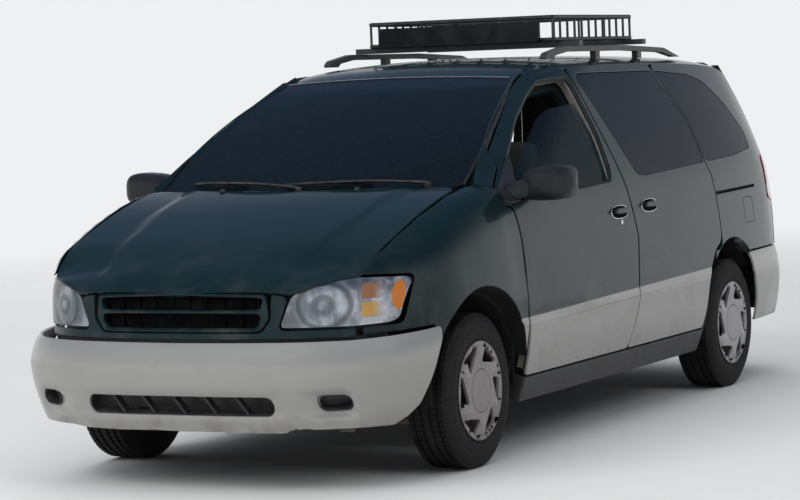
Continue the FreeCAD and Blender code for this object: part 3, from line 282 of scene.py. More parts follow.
def rounded(points, step=0.014):
    """Closed loop with rounded corners; a third number in a row is that corner's radius."""
    loop = []
    count = len(points)
    for i in range(count):
        here = Vector(points[i][:2])
        a = Vector(points[i - 1][:2]) - here
        b = Vector(points[(i + 1) % count][:2]) - here
        r = points[i][2] if len(points[i]) > 2 else 0.0
        turn = math.pi - a.angle(b)
        if r <= 0 or turn < 0.02:
            loop.append(here)
            continue
        t = min(r * math.tan(turn / 2), 0.45 * a.length, 0.45 * b.length)
        r = t / math.tan(turn / 2)
        a.normalize()
        b.normalize()
        centre = here + (a + b).normalized() * (r / math.cos(turn / 2))
        start = here + a * t - centre
        end = here + b * t - centre
        sweep = math.atan2(start.x * end.y - start.y * end.x, start.dot(end))
        parts = max(3, int(abs(sweep) * r / step) + 1, int(abs(sweep) / 0.3) + 1)
        for k in range(parts + 1):
            loop.append(centre + Matrix.Rotation(sweep * k / parts, 2) @ start)
    dense = []
    for i, here in enumerate(loop):
        run = loop[(i + 1) % len(loop)] - here
        parts = max(1, int(run.length / step + 0.5))
        for k in range(parts):
            dense.append(here + run * (k / parts))
    dense = [p for i, p in enumerate(dense) if (p - dense[i - 1]).length > 1e-5]
    return wound(np.array([tuple(p) for p in dense]), True)


def wound(loop, leftward):
    """The loop with its inside on the left of its direction of travel, or on the right."""
    x, y = loop[:, 0], loop[:, 1]
    area = float(np.sum(x * np.roll(y, -1) - np.roll(x, -1) * y))
    return loop if (area > 0) == leftward else loop[::-1]


def inset(loop, distance):
    """The loop moved to the left of its direction of travel."""
    ahead = np.roll(loop, -1, 0) - loop
    ahead = ahead / np.linalg.norm(ahead, axis=1)[:, None]
    left = np.stack([-ahead[:, 1], ahead[:, 0]], 1)
    left = left + np.roll(left, 1, 0)
    left = left / np.maximum(np.linalg.norm(left, axis=1), 1e-6)[:, None]
    return loop + left * distance


def enclosed(points, loops):
    """Which of the points lie inside the first loop and outside the others."""
    odd = np.zeros(len(points), bool)
    for loop in loops:
        after = np.roll(loop, -1, 0)
        for (x0, y0), (x1, y1) in zip(loop, after):
            if y0 == y1:
                continue
            cross = (y0 > points[:, 1]) != (y1 > points[:, 1])
            odd ^= cross & (points[:, 0] < (x1 - x0) * (points[:, 1] - y0) / (y1 - y0) + x0)
    return odd


BODY_CENTRE = Vector((0, 0, 0.4))
# How far the normals lean outwards on the three rings of a rolled edge, in degrees
EDGE_LEANS = (80, 40, 0)


def pressing(loops, place, depth, roll=0.003, spacing=0.035, start=0.0, centre=BODY_CENTRE):
    """Closed sheet laid on a surface, over the area inside the first loop and outside the others.

    place(a, b) gives the surface's point for flat coordinates. start and depth are measured inwards from
    it, and roll is the radius of the sheet's outer edges."""
    loops = [wound(loop, i == 0) for i, loop in enumerate(loops)]
    points = []
    edges = []
    lean = []
    outward = []
    for loop in loops:
        away = loop - inset(loop, 1.0)
        for degrees in EDGE_LEANS:
            angle = math.radians(degrees)
            back = 0.0 if degrees == EDGE_LEANS[0] else roll * (1 - math.sin(angle))
            first = len(points)
            ring = inset(loop, back) if back else loop
            points += [tuple(p) for p in ring]
            edges += [(first + i, first + (i + 1) % len(ring)) for i in range(len(ring))]
            lean += [angle] * len(ring)
            outward += [tuple(p) for p in away]
    ringed = np.array(points)
    low, high = ringed.min(0), ringed.max(0)
    across = np.arange(low[0] + spacing / 2, high[0], spacing)
    along = np.arange(low[1] + spacing / 2, high[1], spacing)
    cloud = np.array([(a, b) for a in across for b in along])
    cloud = cloud[enclosed(cloud, loops)]
    if len(cloud):
        near = np.array([np.min(np.sum((ringed - p) ** 2, 1)) for p in cloud])
        cloud = cloud[near > (spacing * 0.45) ** 2]
    for p in cloud:
        points.append(tuple(p))
        lean.append(0.0)
        outward.append((0.0, 0.0))
    flat = [Vector(p) for p in points]
    verts, _, tris, origin, _, _ = delaunay_2d_cdt(flat, edges, [], 0, 1e-7, True)
    flat_verts = np.array([tuple(v) for v in verts])
    corner = np.array([list(t) for t in tris if len(t) == 3])
    corner = corner[enclosed(flat_verts[corner].mean(1), loops)]
    index = {}
    source = [None] * len(verts)
    for new, old in enumerate(origin):
        for o in old:
            index[o] = new
        source[new] = old[0] if old else None
    front, back, facing, side = [], [], [], []
    nudge = 0.0005
    for i, (a, b) in enumerate(flat_verts):
        here = place(a, b)
        da = place(a + nudge, b) - here
        db = place(a, b + nudge) - here
        up = da.cross(db).normalized()
        if up.dot(here - centre) < 0:
            up = -up
        o = source[i]
        angle = lean[o] if o is not None else 0.0
        out = Vector((0, 0, 0))
        if o is not None and angle:
            out = (da * outward[o][0] + db * outward[o][1]).normalized()
        front.append(here - up * (start + roll * (1 - math.cos(angle))))
        back.append(here - up * (start + depth))
        facing.append(up * math.cos(angle) + out * math.sin(angle))
        side.append((up, out))
    a, b, c = corner[0]
    flipped = (front[b] - front[a]).cross(front[c] - front[a]).dot(side[a][0]) < 0
    faces, slots, normals = [], [], []
    count = len(front)
    for a, b, c in corner.tolist():
        if flipped:
            b, c = c, b
        faces.append((a, b, c))
        slots.append(0)
        normals += [facing[a], facing[b], facing[c]]
        faces.append((a + count, c + count, b + count))
        slots.append(1)
        normals += [-side[a][0], -side[c][0], -side[b][0]]
    first = 0
    for loop in loops:
        size = len(loop)
        for i in range(size):
            a = index[first + i]
            b = index[first + (i + 1) % size]
            if a == b:
                continue
            wall = (a, a + count, b + count, b) if not flipped else (b, b + count, a + count, a)
            faces.append(wall)
            slots.append(0)
            for v in wall:
                normals.append(facing[v] if v < count else side[v - count][1])
        first += size * 3
    return {"verts": front + back, "faces": faces, "slots": slots, "normals": normals}


def mirrored(shape):
    """The same shape on the other side of the car, still facing outwards."""
    flip = Matrix.Scale(-1, 3, Vector((1, 0, 0)))
    normals = []
    place = 0
    for face in shape["faces"]:
        part = shape["normals"][place:place + len(face)]
        normals += [flip @ n for n in reversed(part)]
        place += len(face)
    return {**shape, "verts": [flip @ v for v in shape["verts"]],
            "faces": [tuple(reversed(f)) for f in shape["faces"]], "normals": normals}


def together(shapes):
    """Several shapes as one, in which each keeps its finish numbers."""
    whole = {"verts": [], "faces": [], "slots": [], "normals": []}
    for shape in shapes:
        base = len(whole["verts"])
        whole["verts"] += shape["verts"]
        whole["faces"] += [tuple(v + base for v in f) for f in shape["faces"]]
        whole["slots"] += shape["slots"]
        whole["normals"] += shape["normals"]
    return whole


def refinished(shape, outer=1, inner=1):
    """The shape with its outside and inside given other finish numbers."""
    return {**shape, "slots": [outer if s == 0 else inner for s in shape["slots"]]}


def put(name, data):
    """A new object, linked to the scene."""
    made = bpy.data.objects.new(name, data)
    bpy.context.scene.collection.objects.link(made)
    return made


def make(name, shape, finishes, body, slot, *stands_for):
    """A finished piece that rides on a body and stands for the named solids."""
    mesh = bpy.data.meshes.new(name)
    mesh.from_pydata([tuple(v) for v in shape["verts"]], [], shape["faces"])
    for finish in finishes:
        mesh.materials.append(finish.material)
    mesh.polygons.foreach_set("material_index", shape["slots"])
    mesh.polygons.foreach_set("use_smooth", [True] * len(mesh.polygons))
    mesh.update()
    mesh.normals_split_custom_set([tuple(n) for n in shape["normals"]])
    made = put(name, mesh)
    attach(made, body)
    if stands_for:
        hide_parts(*stands_for)
    return made


def pair(name, shape, finishes, slot, bodies=("root", "root"), stands_for=()):
    """The same piece on the left and, mirrored, on the right, standing for one solid on each side."""
    make(name + "_left", shape, finishes, bodies[0], slot, *stands_for[:1])
    make(name + "_right", mirrored(shape), finishes, bodies[1], slot, *stands_for[1:])


def other_half(rows):
    """The rows of one half again on the other side, in the order that closes the loop."""
    return [(-row[0], *row[1:]) for row in reversed(rows)]


def both_halves(rows):
    return rows + other_half(rows)


def on_car(name, lower_colour=None):
    """Metallic paint under lacquer: fine flake, dust low down, and the cladding's colour below its edge."""
    green = (0.0035, 0.0125, 0.015)
    green_flake = (0.008, 0.03, 0.034)
    finish = Finish(name, green, 0.3, 0.25, Coat_Weight=0.5, Coat_Roughness=0.03, Coat_IOR=1.33,
                    Specular_IOR_Level=0.12)
    flake = finish.cells(1600.0, "Color").rise(0.35, 0.95)
    colour = finish.blend(flake * 0.6, green, green_flake)
    height = finish.part(2)
    if lower_colour:
        along = finish.part(1)
        edge = height - (CLADDING_TOP - 0.003) - CLADDING_RISE * (along - CLADDING_START)
        # Painted shade: a thin dark line just below the foot of the cladding's bevelled step.
        crease = 1.0 - (edge + 0.036).size().rise(0.0008, 0.0022)
        lower = finish.blend(crease * 0.6, lower_colour, (0.08, 0.078, 0.074))
        colour = finish.blend(edge.rise(-0.001, 0.001), lower, colour)
    dust = finish.noise(7.0, 4.0).rise(0.42, 0.8) * (1.0 - height.rise(0.45, 1.1)) * 0.25
    grime = finish.noise(40.0, 5.0, 0.7).rise(0.5, 0.75) * (1.0 - height.rise(0.22, 0.5)) * 0.35
    colour = finish.blend(dust + grime, colour, (0.16, 0.145, 0.125))
    finish.feed("Base Color", colour)
    finish.feed("Roughness", 0.24 + 0.25 * dust + 0.5 * grime + 0.04 * finish.noise(3.0))
    finish.feed("Coat Weight", 0.5 - 0.45 * grime)
    return finish


SILVER_BEIGE = (0.3, 0.295, 0.28)
body_paint = on_car("body paint")
two_tone = on_car("two tone paint", SILVER_BEIGE)
inner_paint = mottled("inner paint", (0.004, 0.012, 0.013), (0.008, 0.013, 0.013), 0.6, 8.0,
                      Specular_IOR_Level=0.2)
headliner = mottled("headliner", (0.3, 0.28, 0.25), (0.24, 0.225, 0.2), 0.95, 30.0, grain=0.0006,
                    grain_scale=900.0)
tan_plastic = mottled("tan plastic", (0.24, 0.215, 0.18), (0.19, 0.17, 0.14), 0.6, 10.0, grain=0.0004)
black_rubber = mottled("black rubber", (0.01, 0.01, 0.011), (0.022, 0.021, 0.02), 0.6, 20.0, grain=0.0003)
black_plastic = mottled("black plastic", (0.014, 0.014, 0.016), (0.028, 0.027, 0.027), 0.5, 14.0,
                        grain=0.0004)

# Flat outlines: station, height, corner radius
FRONT_DOOR = [
    (-1.087, 0.332, 0.02), (-1.087, 0.905, 0.09), (-1.112, 1.052, 0.03), (-1.184, 1.064, 0.02),
    (-1.18, 1.128, 0.025), (-1.046, 1.206, 0.04), (-1.026, 1.28, 0.02), (-0.826, 1.386, 0.3),
    (-0.601, 1.505, 0.3), (-0.458, 1.568, 0.2), (-0.3, 1.618, 0.2), (0.0, 1.628, 0.06), (0.163, 0.84, 0.06),
    (0.113, 0.563, 0.2), (0.02, 0.332, 0.02),
]
FRONT_WINDOW = [
    (-1.012, 1.086, 0.02), (-1.012, 1.2, 0.03), (-0.677, 1.401, 0.3), (-0.457, 1.505, 0.2),
    (-0.29, 1.566, 0.12), (-0.017, 1.578, 0.03), (0.027, 1.33, 0.3), (0.008, 1.15, 0.06),
    (-0.03, 1.098, 0.04), (-0.356, 1.085, 0.09),
]
SLIDING_DOOR = [
    (0.028, 0.332, 0.02), (0.121, 0.563, 0.2), (0.171, 0.84, 0.06), (0.008, 1.628, 0.04), (1.0, 1.618, 0.04),
    (1.2, 1.33, 0.12), (1.197, 1.125, 0.02), (1.222, 1.06, 0.04), (1.24, 0.74, 0.12), (1.14, 0.7, 0.12),
    (1.01, 0.56, 0.2), (0.984, 0.332, 0.02),
]
SLIDING_GLASS = [
    (0.052, 1.592, 0.04), (0.993, 1.588, 0.03), (1.187, 1.326, 0.12), (1.184, 1.132, 0.03),
    (0.4, 1.106, 0.04), (0.3, 1.112, 0.06), (0.248, 1.19, 0.06),
]
QUARTER_GLASS = [
    (1.022, 1.588, 0.02), (1.46, 1.562, 0.2), (1.65, 1.523, 0.12), (1.83, 1.41, 0.16), (1.965, 1.255, 0.08),
    (1.951, 1.17, 0.04), (1.619, 1.143, 0.2), (1.214, 1.132, 0.03), (1.217, 1.326, 0.12),
]
ROOF_STATIONS = (-0.37, -0.28, -0.1, 0.2, 0.7, 1.2, 1.7, 1.95)
# Tail profile on the centre line: height, station; and its plan: across, forward of the centre line
TAIL_PROFILE = [
    (0.56, 2.432), (0.76, 2.428), (0.9, 2.418), (1.05, 2.398), (1.15, 2.366), (1.3, 2.292), (1.45, 2.206),
    (1.56, 2.138), (1.65, 2.078), (1.72, 2.03),
]
TAIL_PLAN = [
    (0.0, 0.0), (0.3, 0.008), (0.5, 0.022), (0.62, 0.044), (0.7, 0.074), (0.77, 0.126), (0.83, 0.21),
    (0.87, 0.3),
]


def tail_y(x, z):
    return interpolate(TAIL_PROFILE, z) - interpolate(TAIL_PLAN, abs(x))


def tail_edge(z):
    """Station where the body side meets the tail at a height."""
    y = 2.2
    for _ in range(12):
        y = 0.5 * y + 0.5 * tail_y(side_x(y, z), z)
    return y


ARC_STEPS = 40


def arc(centre_y, radius, start, end):
    """Points of a wheel arch from one angle to another, in degrees from the rear."""
    spots = []
    for i in range(ARC_STEPS + 1):
        angle = math.radians(start + (end - start) * i / ARC_STEPS)
        spots.append((centre_y + radius * math.cos(angle), ARCH_Z + radius * math.sin(angle)))
    return spots


roof_edge = [(roof_half(y) - 0.003, y) for y in ROOF_STATIONS]
roof_half_loop = [(0.56, -0.414), (0.598, -0.398, 0.01)] + roof_edge + [(0.6, 2.01, 0.03), (0.56, 2.026)]
roof_loop = [(0.0, -0.436)] + roof_half_loop + [(0.0, 2.054)] + other_half(roof_half_loop)
make("roof_panel", pressing([rounded(roof_loop)], on_roof, 0.024, spacing=0.05), [body_paint, headliner],
     "root", "body_paint", "roof")

# Front pillar between the windshield and the door, from the fender to the roof
pillar_loop = [
    (-1.283, 1.152, 0.004), (-1.074, 1.284, 0.3), (-0.86, 1.399, 0.3), (-0.64, 1.504, 0.3),
    (-0.425, 1.598, 0.06), (-0.36, 1.6), (-0.28, 1.596), (-0.3, 1.626, 0.1), (-0.458, 1.575, 0.2),
    (-0.601, 1.512, 0.3), (-0.826, 1.393, 0.3), (-1.026, 1.288, 0.02), (-1.046, 1.214, 0.04),
    (-1.186, 1.132, 0.02),
]
LAMP_FRONT = 2.213
quarter_loop = [
    (1.232, 0.7), (1.246, 0.74, 0.12), (1.228, 1.06, 0.04), (1.203, 1.125, 0.02), (1.206, 1.33, 0.12),
    (1.006, 1.622, 0.03), (1.2, 1.624), (1.7, 1.606), (1.98, 1.584, 0.05),
]
quarter_loop += [(tail_edge(z) - 0.004, z) for z in (1.56, 1.45, 1.3, 1.2, 1.14)]
quarter_loop += [(LAMP_FRONT, 1.137, 0.012), (LAMP_FRONT, 0.865, 0.012)]
quarter_loop += [(tail_edge(z) - 0.004, z) for z in (0.86, 0.76, 0.68)]
quarter_loop += [(2.2, 0.663), (1.66, 0.663), (1.668, 0.65)]
quarter_loop += arc(REAR_AXLE_Y, REAR_ARCH, 50.6, 128.0) + [(1.146, 0.694)]
sill_loop = [(-1.084, 0.215, 0.01), (-1.084, 0.324, 0.01), (0.985, 0.324, 0.01), (1.0, 0.36), (1.012, 0.47),
             (1.018, 0.4), (0.995, 0.215, 0.01)]
inner_loop = [
    (-1.118, 0.23), (-1.118, 0.9), (-1.15, 1.08), (-1.23, 1.145), (-1.064, 1.262, 0.3), (-0.86, 1.377, 0.3),
    (-0.64, 1.482, 0.3), (-0.425, 1.566, 0.06), (-0.25, 1.59), (0.0, 1.603), (1.0, 1.603), (1.7, 1.578),
    (2.0, 1.54), (2.17, 1.3), (2.2, 1.15), (2.2, 0.7), (1.8, 0.67),
] + arc(REAR_AXLE_Y, REAR_ARCH + 0.03, 48.0, 136.0) + [(1.02, 0.56), (0.97, 0.23)]
front_opening = [
    (-1.04, 0.33, 0.06), (-1.04, 0.9, 0.09), (-0.98, 1.19, 0.06), (-0.66, 1.39, 0.24), (-0.31, 1.542, 0.16),
    (-0.04, 1.56, 0.06), (0.06, 1.1, 0.06), (0.1, 0.84, 0.06), (0.05, 0.563, 0.2), (-0.03, 0.33, 0.06),
]
slide_opening = [
    (0.11, 0.33, 0.06), (0.18, 0.563, 0.2), (0.225, 0.84, 0.06), (0.097, 1.556, 0.04), (0.948, 1.552, 0.04),
    (1.13, 1.32, 0.12), (1.15, 1.06, 0.04), (1.15, 0.76, 0.1), (1.08, 0.7, 0.12), (0.95, 0.56, 0.2),
    (0.93, 0.33, 0.06),
]
pillar = pressing([rounded(pillar_loop)], on_side, 0.05, roll=0.004, spacing=0.03)
quarter = pressing([rounded(quarter_loop), rounded(QUARTER_GLASS)], on_side, 0.06, spacing=0.04)
sill = pressing([rounded(sill_loop)], on_side, 0.06, roll=0.01, spacing=0.06)
inner_loops = [rounded(inner_loop), rounded(front_opening), rounded(slide_opening)]
inner_loops.append(inset(rounded(QUARTER_GLASS), 0.02))
inner_frame = pressing(inner_loops, on_side, 0.036, start=0.067, spacing=0.08)
# The black sill under the doors is partly its own dark colour and partly painted shade under the body.
side = together([pillar, quarter, refinished(sill, 3, 3), refinished(inner_frame, 2, 1)])
pair("body_side", side, [two_tone, tan_plastic, inner_paint, black_plastic], "body_paint",
     stands_for=("side_frame_left", "side_frame_right"))

# Fenders
# Each front fender is one pressing, bolted along the engine bay. Its upper part is body green and the end
# behind the wheel carries the lower cladding's colour. The turn signal's seat is cut out of its front
# corner.

# Sections: station, then across and height of six points from the hood line to the sill
FENDER_SECTIONS = [
    (-2.19, (0.714, 0.846), (0.716, 0.815), (0.716, 0.76), (0.714, 0.7), (0.712, 0.6), (0.705, 0.33)),
    (-2.08, (0.733, 0.925), (0.765, 0.893), (0.786, 0.82), (0.792, 0.74), (0.794, 0.6), (0.78, 0.33)),
    (-1.95, (0.741, 0.976), (0.798, 0.938), (0.836, 0.86), (0.846, 0.76), (0.85, 0.6), (0.835, 0.33)),
    (-1.75, (0.748, 1.048), (0.82, 1.006), (0.878, 0.905), (0.898, 0.77), (0.906, 0.6), (0.88, 0.33)),
    (-1.5, (0.75, 1.118), (0.832, 1.078), (0.893, 0.962), (0.915, 0.8), (0.925, 0.6), (0.89, 0.33)),
    (-1.28, (0.744, 1.15), (0.838, 1.122), (0.896, 0.985), (0.919, 0.8), (0.93, 0.6), (0.892, 0.33)),
    (-1.06, (0.792, 1.21), (0.848, 1.14), (0.895, 1.0), (0.918, 0.8), (0.93, 0.6), (0.893, 0.33)),
]
fender_columns = [[(row[0], row[k + 1][0], row[k + 1][1]) for row in FENDER_SECTIONS] for k in range(6)]


def on_fender(y, z):
    heights = [(k, interpolate(fender_columns[k], y, 1), interpolate(fender_columns[k], y, 2))
               for k in range(6)]
    low, high = 0.0, 5.0
    for _ in range(22):
        middle = (low + high) / 2
        if interpolate(heights, middle, 2) > z:
            low = middle
        else:
            high = middle
    step = 1 - eased(z, cladding_top(y) - CLADDING_BEVEL, cladding_top(y))
    step *= eased(y, -1.3, -1.2) * CLADDING_PROUD
    return Vector((interpolate(heights, low, 1) + step - CLADDING_PROUD * 0.5 * eased(y, -1.3, -1.15), y, z))


fender_loop = [(-2.19, 0.849), (-2.1, 0.846), (-1.958, 0.839, 0.02), (-2.036, 0.648, 0.03), (-2.186, 0.646),
               (-2.186, 0.612)]
fender_loop += [(-1.876, 0.627, 0.01)] + arc(FRONT_AXLE_Y, FRONT_ARCH, 148.0, 16.0)
fender_loop += [(-1.0975, 0.56), (-1.0975, 0.905, 0.09), (-1.122, 1.04, 0.03), (-1.194, 1.052, 0.014),
                (-1.194, 1.128, 0.012)]
fender_loop += [(-1.284, 1.148), (-1.5, 1.116), (-1.75, 1.046), (-1.95, 0.975), (-2.08, 0.923)]
fender = pressing([rounded(fender_loop)], on_fender, 0.004, roll=0.003, spacing=0.03)
pair("fender", fender, [two_tone, underseal], "body_paint", stands_for=("fenders", "fenders"))

# Hood
# One pressed skin hemmed over an inner frame. Two soft creases run from the windshield's corners to the ends
# of the grille, and its front is peppered with small pale stone chips and dirt.
HOOD_HALF = 0.74
HOOD_CREASE = [(-2.4, 0.4), (-2.2, 0.425), (-1.9, 0.47), (-1.3, 0.52)]
HOOD_BULGE = 0.007
# Station, height on the centre line, drop at the half width
HOOD_PROFILE = [
    (-2.44, 0.752, 0.062), (-2.3, 0.848, 0.048), (-2.19, 0.902, 0.062), (-2.05, 0.96, 0.026),
    (-1.9, 1.012, 0.018), (-1.72, 1.068, 0.013), (-1.54, 1.114, 0.009), (-1.4, 1.142, 0.006),
    (-1.25, 1.168, 0.006),
]


def on_hood(x, y):
    drop = interpolate(HOOD_PROFILE, y, 2)
    crease = interpolate(HOOD_CREASE, y)
    bulge = HOOD_BULGE * (1 - eased(abs(x), crease - 0.012, crease + 0.045)) * eased(y, -2.4, -2.2)
    return Vector((x, y, interpolate(HOOD_PROFILE, y) - drop * (x / HOOD_HALF) ** 2 + bulge))


hood_half_loop = [
    (0.386, -2.357, 0.04), (0.486, -2.349, 0.02), (0.528, -2.331), (0.608, -2.281), (0.704, -2.188, 0.014),
    (0.722, -2.13), (0.734, -2.0), (0.739, -1.8), (0.74, -1.5), (0.734, -1.335, 0.06), (0.557, -1.377, 0.08),
]
hood_loop = [(0.0, -2.387)] + hood_half_loop + [(0.0, -1.436)] + other_half(hood_half_loop)
hood_paint = on_car("hood paint")
chips = (1.0 - hood_paint.cells(38.0).rise(0.03, 0.07)) * hood_paint.noise(9.0).rise(0.5, 0.62)
chips = chips * (1.0 - hood_paint.part(1).rise(-2.15, -1.75)) * 0.7
hood_paint.cover(chips, (0.5, 0.49, 0.45))
make("hood_panel", pressing([rounded(hood_loop)], on_hood, 0.016, roll=0.004, spacing=0.035),
     [hood_paint, inner_paint], "hood", "body_paint", "hood")

# Nose panel and grille
# The nose panel is a thin pressing that closes the front between the lamps. The grille is moulded plastic in
# body colour, clipped into it, with a bar between two slots and thin slats deep inside them. A black sheet
# behind the slots paints the shade in them.


class Wrap:
    """A surface that bends round an end of the car: s runs along its plan from the middle, z upwards."""

    def __init__(self, plan, levels, sense):
        self.levels = levels
        self.sense = sense
        self.table = [(0.0, *plan[0])]
        for (x0, y0), (x1, y1) in zip(plan, plan[1:]):
            self.table.append((self.table[-1][0] + math.hypot(x1 - x0, y1 - y0), x1, y1))
        self.table.insert(0, (-self.table[1][0], -self.table[1][1], self.table[1][2]))

    def place(self, s, z):
        reach = abs(s)
        x = interpolate(self.table, reach, 1)
        y = interpolate(self.table, reach, 2)
        nearby = 0.002
        dx = interpolate(self.table, reach + nearby, 1) - x
        dy = interpolate(self.table, reach + nearby, 2) - y
        run = math.hypot(dx, dy)
        deep = interpolate(self.levels, z) * self.sense
        return Vector((math.copysign(1, s) * (x - dy / run * deep), y + dx / run * deep, z))

    def find(self, column, value, z):
        """How far round the plan a place across (column 0) or along (column 1) the car is reached."""
        low, high = 0.0, self.table[-1][0]
        rising = self.place(high, z)[column] > self.place(low, z)[column]
        for _ in range(30):
            middle = (low + high) / 2
            if (self.place(middle, z)[column] < value) == rising:
                low = middle
            else:
                high = middle
        return low

    def across(self, loop):
        """A loop seen from the front, with across turned into the way round the plan."""
        return np.array([(math.copysign(self.find(0, abs(x), z), x), z) for x, z in loop])


NOSE_PLAN = [
    (0.0, -2.4), (0.2, -2.394), (0.39, -2.37), (0.52, -2.336), (0.62, -2.287), (0.714, -2.207),
    (0.785, -2.1), (0.833, -1.99), (0.868, -1.86), (0.892, -1.7),
]
NOSE_LEVELS = [
    (0.56, 0.0), (0.65, 0.0), (0.74, 0.002), (0.8, 0.008), (0.86, 0.026), (0.96, 0.06),
]
nose = Wrap(NOSE_PLAN, NOSE_LEVELS, 1)
nose_half = [
    (0.702, 0.61), (0.702, 0.644, 0.01), (0.43, 0.644, 0.02), (0.476, 0.775, 0.02), (0.408, 0.786, 0.01),
    (0.406, 0.69, 0.04), (0.366, 0.636, 0.03),
]
nose_edge = nose.across(rounded(both_halves(nose_half)))
make("nose_skin", pressing([nose_edge], nose.place, 0.012, spacing=0.03), [body_paint, inner_paint], "root",
     "body_paint", "nose_panel")
# The edge of the grille and its two slots: half of each, then the middle of its upper side
GRILLE_LOOPS = [
    ([(-0.386, 0.786, 0.02), (-0.4, 0.69, 0.04), (-0.362, 0.642, 0.03)], 0.796),
    ([(-0.374, 0.772, 0.012), (-0.362, 0.732, 0.016)], 0.784),
    ([(-0.372, 0.706, 0.014), (-0.345, 0.66, 0.018)], 0.71),
]
BAR_SWELL = 0.01


def on_grille(s, z):
    """The nose surface with the bar and the lip under the lower slot swelling forwards."""
    here = nose.place(s, z)
    swell = BAR_SWELL * (math.exp(-((z - 0.719) / 0.014) ** 2) + 1.2 * math.exp(-((z - 0.64) / 0.016) ** 2))
    return here - Vector((0, swell * (1 - eased(abs(s), 0.3, 0.4)), 0))


grille_paint = on_car("grille paint")
# Painted shade: a glossless near-black for what lies in shade: the backs of the grille's slots, the handle
# cups, the sliding track's groove and the fuel door's gap. The grille's slats take it too.
painted_shade_black = mottled("slot black", (0.003, 0.003, 0.003), (0.007, 0.007, 0.007), 0.9, 20.0,
                     Specular_IOR_Level=0.05)
grille_loops = [nose.across(rounded(both_halves(half) + [(0.0, top)])) for half, top in GRILLE_LOOPS]
grille = pressing(grille_loops, on_grille, 0.03, roll=0.007, spacing=0.02, start=0.003)
# Painted shade: a black sheet four centimetres behind the grille darkens its slots.
back_edge = nose.across(rounded(both_halves([(-0.38, 0.776), (-0.39, 0.65)])))
grille_back = pressing([back_edge], nose.place, 0.004, spacing=0.06, start=0.04)


class Tree(Shading):
    """A Geometry Nodes tree with named number inputs, and the plain mesh that comes out of it."""

    def __init__(self, name, **sizes):
        super().__init__(bpy.data.node_groups.new(name, "GeometryNodeTree"))
        self.tree.interface.new_socket("Geometry", in_out="OUTPUT", socket_type="NodeSocketGeometry")
        self.sizes = sizes
        self.keys = {}
        for label, value in sizes.items():
            kind = {int: "NodeSocketInt", float: "NodeSocketFloat", tuple: "NodeSocketVector"}[type(value)]
            entry = self.tree.interface.new_socket(label, in_out="INPUT", socket_type=kind)
            self.keys[label] = entry.identifier
        self.given = self.tree.nodes.new("NodeGroupInput")

    def size(self, label):
        return Signal(self, self.given.outputs[label])

    def shape(self, last, finish):
        """Realizes and paints what last gives, and reads it back as one shape."""
        real = self.node("GeometryNodeRealizeInstances", inputs={0: last})
        painted = self.node("GeometryNodeSetMaterial", inputs={0: real, "Material": finish.material})
        self.join(self.tree.nodes.new("NodeGroupOutput").inputs[0], painted)
        holder = put(self.tree.name, bpy.data.meshes.new(self.tree.name))
        modifier = holder.modifiers.new("build", "NODES")
        modifier.node_group = self.tree
        for label, value in self.sizes.items():
            modifier[self.keys[label]] = value
        bpy.context.view_layer.update()
        graph = bpy.context.evaluated_depsgraph_get()
        mesh = bpy.data.meshes.new_from_object(holder.evaluated_get(graph))
        faces = [tuple(p.vertices) for p in mesh.polygons]
        shape = {"verts": [v.co.copy() for v in mesh.vertices], "faces": faces, "slots": [0] * len(faces),
                 "normals": [p.normal.copy() for p in mesh.polygons for _ in p.vertices]}
        holder.modifiers.remove(modifier)
        bpy.data.objects.remove(holder)
        return shape


def row_of_bars(name, finish, bar, start, step, count):
    """Equal bars in a row: bar is their size, start the middle of the first and step the way to the next."""
    tree = Tree(name, Bar=bar, Start=start, Step=step, Count=count)
    line = {"Count": tree.size("Count"), "Start Location": tree.size("Start"), "Offset": tree.size("Step")}
    row = tree.node("GeometryNodeMeshLine", {"mode": "OFFSET"}, line)
    cube = tree.node("GeometryNodeMeshCube", inputs={"Size": tree.size("Bar")})
    placed = tree.node("GeometryNodeInstanceOnPoints", inputs={"Points": row, "Instance": cube})
    return tree.shape(placed, finish)


slats = row_of_bars("grille_slats", painted_shade_black, (0.005, 0.02, 0.118), (-0.352, -2.352, 0.717),
                    (0.0782, 0.0, 0.0), 10)
make("grille_moulding", together([grille, refinished(grille_back), refinished(slats)]),
     [grille_paint, painted_shade_black], "root", "grille_plastic", "grille")

# Bumpers
# Each bumper cover is one injection moulding in pale silver beige, bolted over a foam block and a steel
# beam. The front one has a wide intake with slanted ribs and a blanked lamp recess on each side, and its
# lower lip is torn and rough.
BUMPER_LEVELS = [
    (0.23, 0.07), (0.31, 0.04), (0.4, 0.014), (0.48, 0.002), (0.54, 0.003), (0.58, 0.012), (0.612, 0.03),
]
REAR_PLAN = [
    (0.0, 2.4575), (0.3, 2.45), (0.56, 2.425), (0.72, 2.37), (0.82, 2.28), (0.885, 2.15), (0.912, 1.98),
    (0.924, 1.8), (0.928, 1.6),
]
REAR_LEVELS = [
    (0.24, 0.05), (0.33, 0.022), (0.44, 0.004), (0.54, 0.0), (0.62, 0.008), (0.68, 0.03),
]
CREASE_Z = 0.512
# Above the crease a shelf steps back and leans towards the nose
SHELF_STEP = 0.006
SHELF_SLOPE = 0.2
# How far the bumpers' steps turn sideways for each metre from the middle
END_TURN = 0.35
# Front plan: across, station; its corners are fuller than the solid's
FRONT_PLAN = [
    (0.0, -2.457), (0.3, -2.45), (0.56, -2.406), (0.74, -2.312), (0.85, -2.19), (0.906, -2.06),
    (0.932, -1.93), (0.937, -1.83), (0.938, -1.7),
]
front_wrap = Wrap(FRONT_PLAN, BUMPER_LEVELS, 1)
rear_wrap = Wrap(REAR_PLAN, REAR_LEVELS, -1)
INTAKE = both_halves([(-0.426, 0.388, 0.034), (-0.426, 0.312, 0.038)])
LAMP_RECESS = [(0.6, 0.394, 0.03), (0.606, 0.33, 0.03), (0.72, 0.334, 0.03), (0.712, 0.392, 0.03)]


